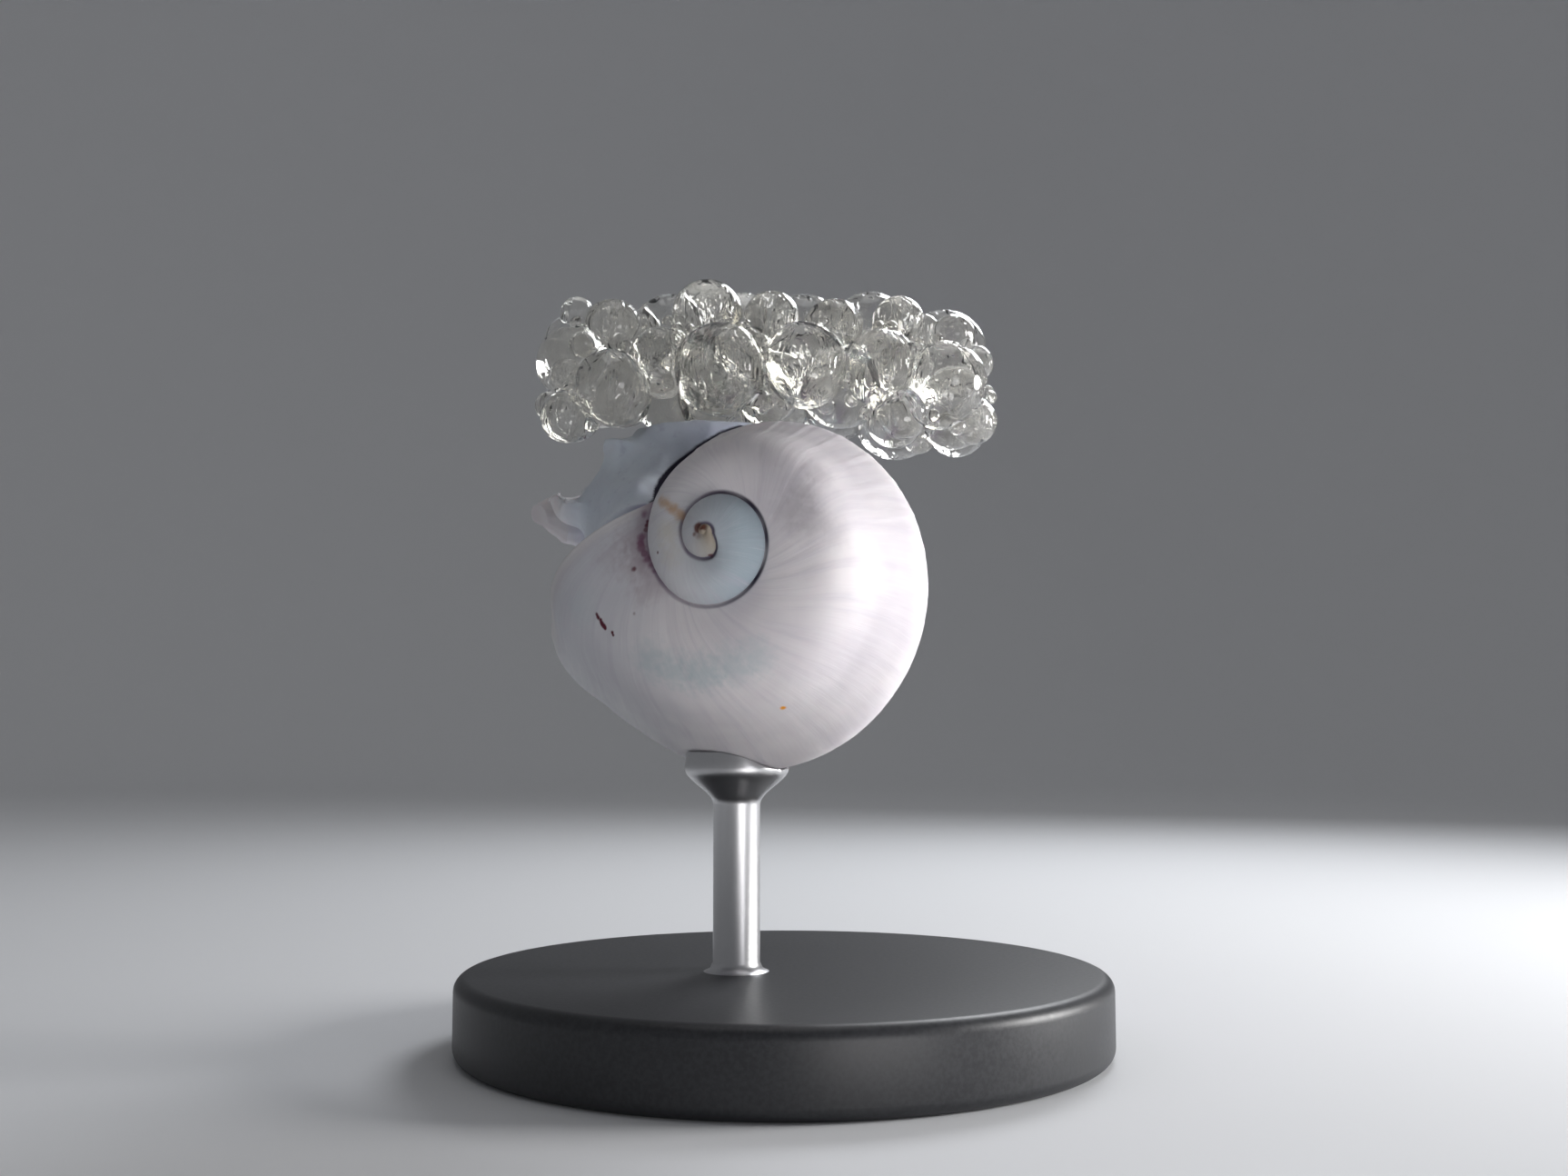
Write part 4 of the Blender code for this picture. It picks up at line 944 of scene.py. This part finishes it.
def build_raft(material):
    """The bubbles, each one closed cell, in three pieces that stand for the raft's three solids."""
    bubbles = [(np.array(bubble[:3]), bubble[3]) for bubble in packed_bubbles()]
    bubbles += froth(bubbles)
    edges = (-99, *RAFT_CUTS, 99)
    for name, left, right in zip(("raft_on_foot", "raft_middle", "raft_old_end"), edges, edges[1:]):
        points, faces = [], []
        for i, (centre, radius) in enumerate(bubbles):
            if left <= centre[0] < right:
                detail = 5 if radius > 1 else 4 if radius > 0.4 else 3
                cell, cell_faces = foam_cell(centre, radius, bubbles[:i] + bubbles[i + 1:], detail)
                faces.extend([[k + len(points) for k in face] for face in cell_faces])
                points.extend(cell)
        piece = mesh_object(name + "_bubbles", points, faces)
        wear(piece, material)
        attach(piece, "root")
        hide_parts(name)


def film_material():
    """The clear film of dried mucus round the bubbles."""
    m = Nodes("bubble_film")
    solid = m.add("TexCoord").outputs["Object"]
    upright = m.add("Mapping", {"Vector": solid, "Scale": (2400.0, 2400.0, 500.0)}).outputs[0]
    pleats = m.range(m.noise(upright, 1.0, 2.0, 0.5, 0.6), 0.52, 0.72)
    normal = m.bump(pleats, 0.00009, 0.7)
    m.set(Base_Color=rgb(0.99, 0.98, 0.945), Roughness=0.0, Transmission_Weight=0.97, IOR=1.12,
          Coat_Weight=1.0, Coat_Roughness=0.05, Coat_IOR=1.7, Normal=normal, Coat_Normal=normal)
    return m.material


# The stand.
def turned(name, profile, middle, segments=160):
    """A body of revolution about an upright line, from (radius, height) in millimetres, upwards."""
    points, faces = [], []
    for radius, height in profile:
        for i in range(segments):
            angle = math.tau * i / segments
            points.append((middle[0] + radius * MM * math.cos(angle),
                           middle[1] + radius * MM * math.sin(angle), height * MM))
    for row in range(0, (len(profile) - 1) * segments, segments):
        for i in range(segments):
            j = (i + 1) % segments
            faces.append((row + i, row + j, row + segments + j, row + segments + i))
    faces.append(range(segments)[::-1])
    faces.append(range((len(profile) - 1) * segments, len(profile) * segments))
    thing = mesh_object(name, points, faces)
    thing.data.set_sharp_from_angle(angle=math.radians(50))
    return thing


def build_base():
    """The round base with its rounded edges."""
    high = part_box("stand_base")[1]
    radius, top = high.x / MM, high.z / MM
    corner = [(BASE_BEVEL * math.sin(a), BASE_BEVEL * (1 - math.cos(a)))
              for a in np.linspace(0, math.pi / 2, 9)]
    inner = radius - BASE_BEVEL
    profile = [(inner + out, up) for out, up in corner]
    profile += [(inner + out, top - up) for out, up in corner[::-1]]
    return turned("stand_base_turned", [(inner * 0.5, 0), *profile, (inner * 0.5, top)], (0, 0))


def build_rod(shell_skin):
    """The rod and its dish, whose top follows the shell that rests in it."""
    low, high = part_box("stand_rod")
    middle = (low + high) / 2
    dish, top = (high.x - low.x) / 2 / MM, high.z / MM
    foot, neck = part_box("stand_base")[1].z / MM, top - NECK_BELOW_TOP
    swell = [(ROD_RADIUS + (dish - ROD_RADIUS) * ease(share), neck + SWELL_HEIGHT * share)
             for share in np.linspace(0, 1, 12)]
    rings = [(dish * share, top) for share in (0.97, 0.9, 0.8, 0.7, 0.6, 0.5, 0.4, 0.3, 0.2, 0.1, 0.02)]
    profile = [(ROD_RADIUS + 0.35, foot), (ROD_RADIUS + 0.12, foot + 0.1), (ROD_RADIUS, foot + 0.35),
               *swell, (dish, top - 0.5), *rings]
    rod = turned("stand_rod_turned", profile, middle, 96)
    tree = BVHTree.FromObject(shell_skin, bpy.context.evaluated_depsgraph_get())
    for vertex in rod.data.vertices:
        if vertex.co.z > (top - 1.2) * MM:
            hit = tree.ray_cast(Vector((vertex.co.x, vertex.co.y, low.z)), Vector((0, 0, 1)))[0]
            if hit is not None:
                vertex.co.z = min(vertex.co.z, hit.z - REST_GAP)
    return rod


def base_material():
    m = Nodes("stand_base_paint")
    solid = m.add("TexCoord").outputs["Object"]
    grain = m.noise(solid, 6000.0, 2.0, 0.6)
    colour = m.mix(m.range(grain, 0.3, 0.7), rgb(0.018, 0.019, 0.022), rgb(0.030, 0.031, 0.035))
    m.set(Base_Color=colour, Roughness=m.range(grain, 0.3, 0.7, 0.40, 0.45),
          Normal=m.bump(grain, 0.00001, 0.2))
    return m.material


def rod_material():
    m = Nodes("stand_rod_steel")
    solid = m.add("TexCoord").outputs["Object"]
    stretched = m.add("Mapping", {"Vector": solid, "Scale": (300.0, 300.0, 24000.0)}).outputs[0]
    brushing = m.noise(stretched, 1.0, 2.0, 0.5)
    m.set(Base_Color=rgb(0.60, 0.60, 0.61), Metallic=1.0, Roughness=m.range(brushing, 0.3, 0.7, 0.30, 0.38),
          Normal=m.bump(brushing, 0.000004, 0.3))
    return m.material


def main():
    add_camera()
    add_stage()
    shell_skin = build_shell()
    carve_growth_lines(shell_skin)
    flesh = skin_over("flesh_skin", FLESH_NODES, FLESH_GROWN, FLESH_VOXEL, FLESH_EASED, FLESH_DRAWN_IN)
    shape_flesh(flesh)
    fold_flesh(flesh)
    paint_gap_shadow(flesh, shell_skin)
    wear(flesh, flesh_material())
    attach(flesh, "root")
    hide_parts(*FLESH_NODES)
    wear(shell_skin, shell_material(shell_skin))
    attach(shell_skin, "root")
    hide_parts("shell")
    build_raft(film_material())
    for piece, material, node in ((build_base(), base_material(), "stand_base"),
                                  (build_rod(shell_skin), rod_material(), "stand_rod")):
        wear(piece, material)
        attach(piece, "root")
        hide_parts(node)


main()
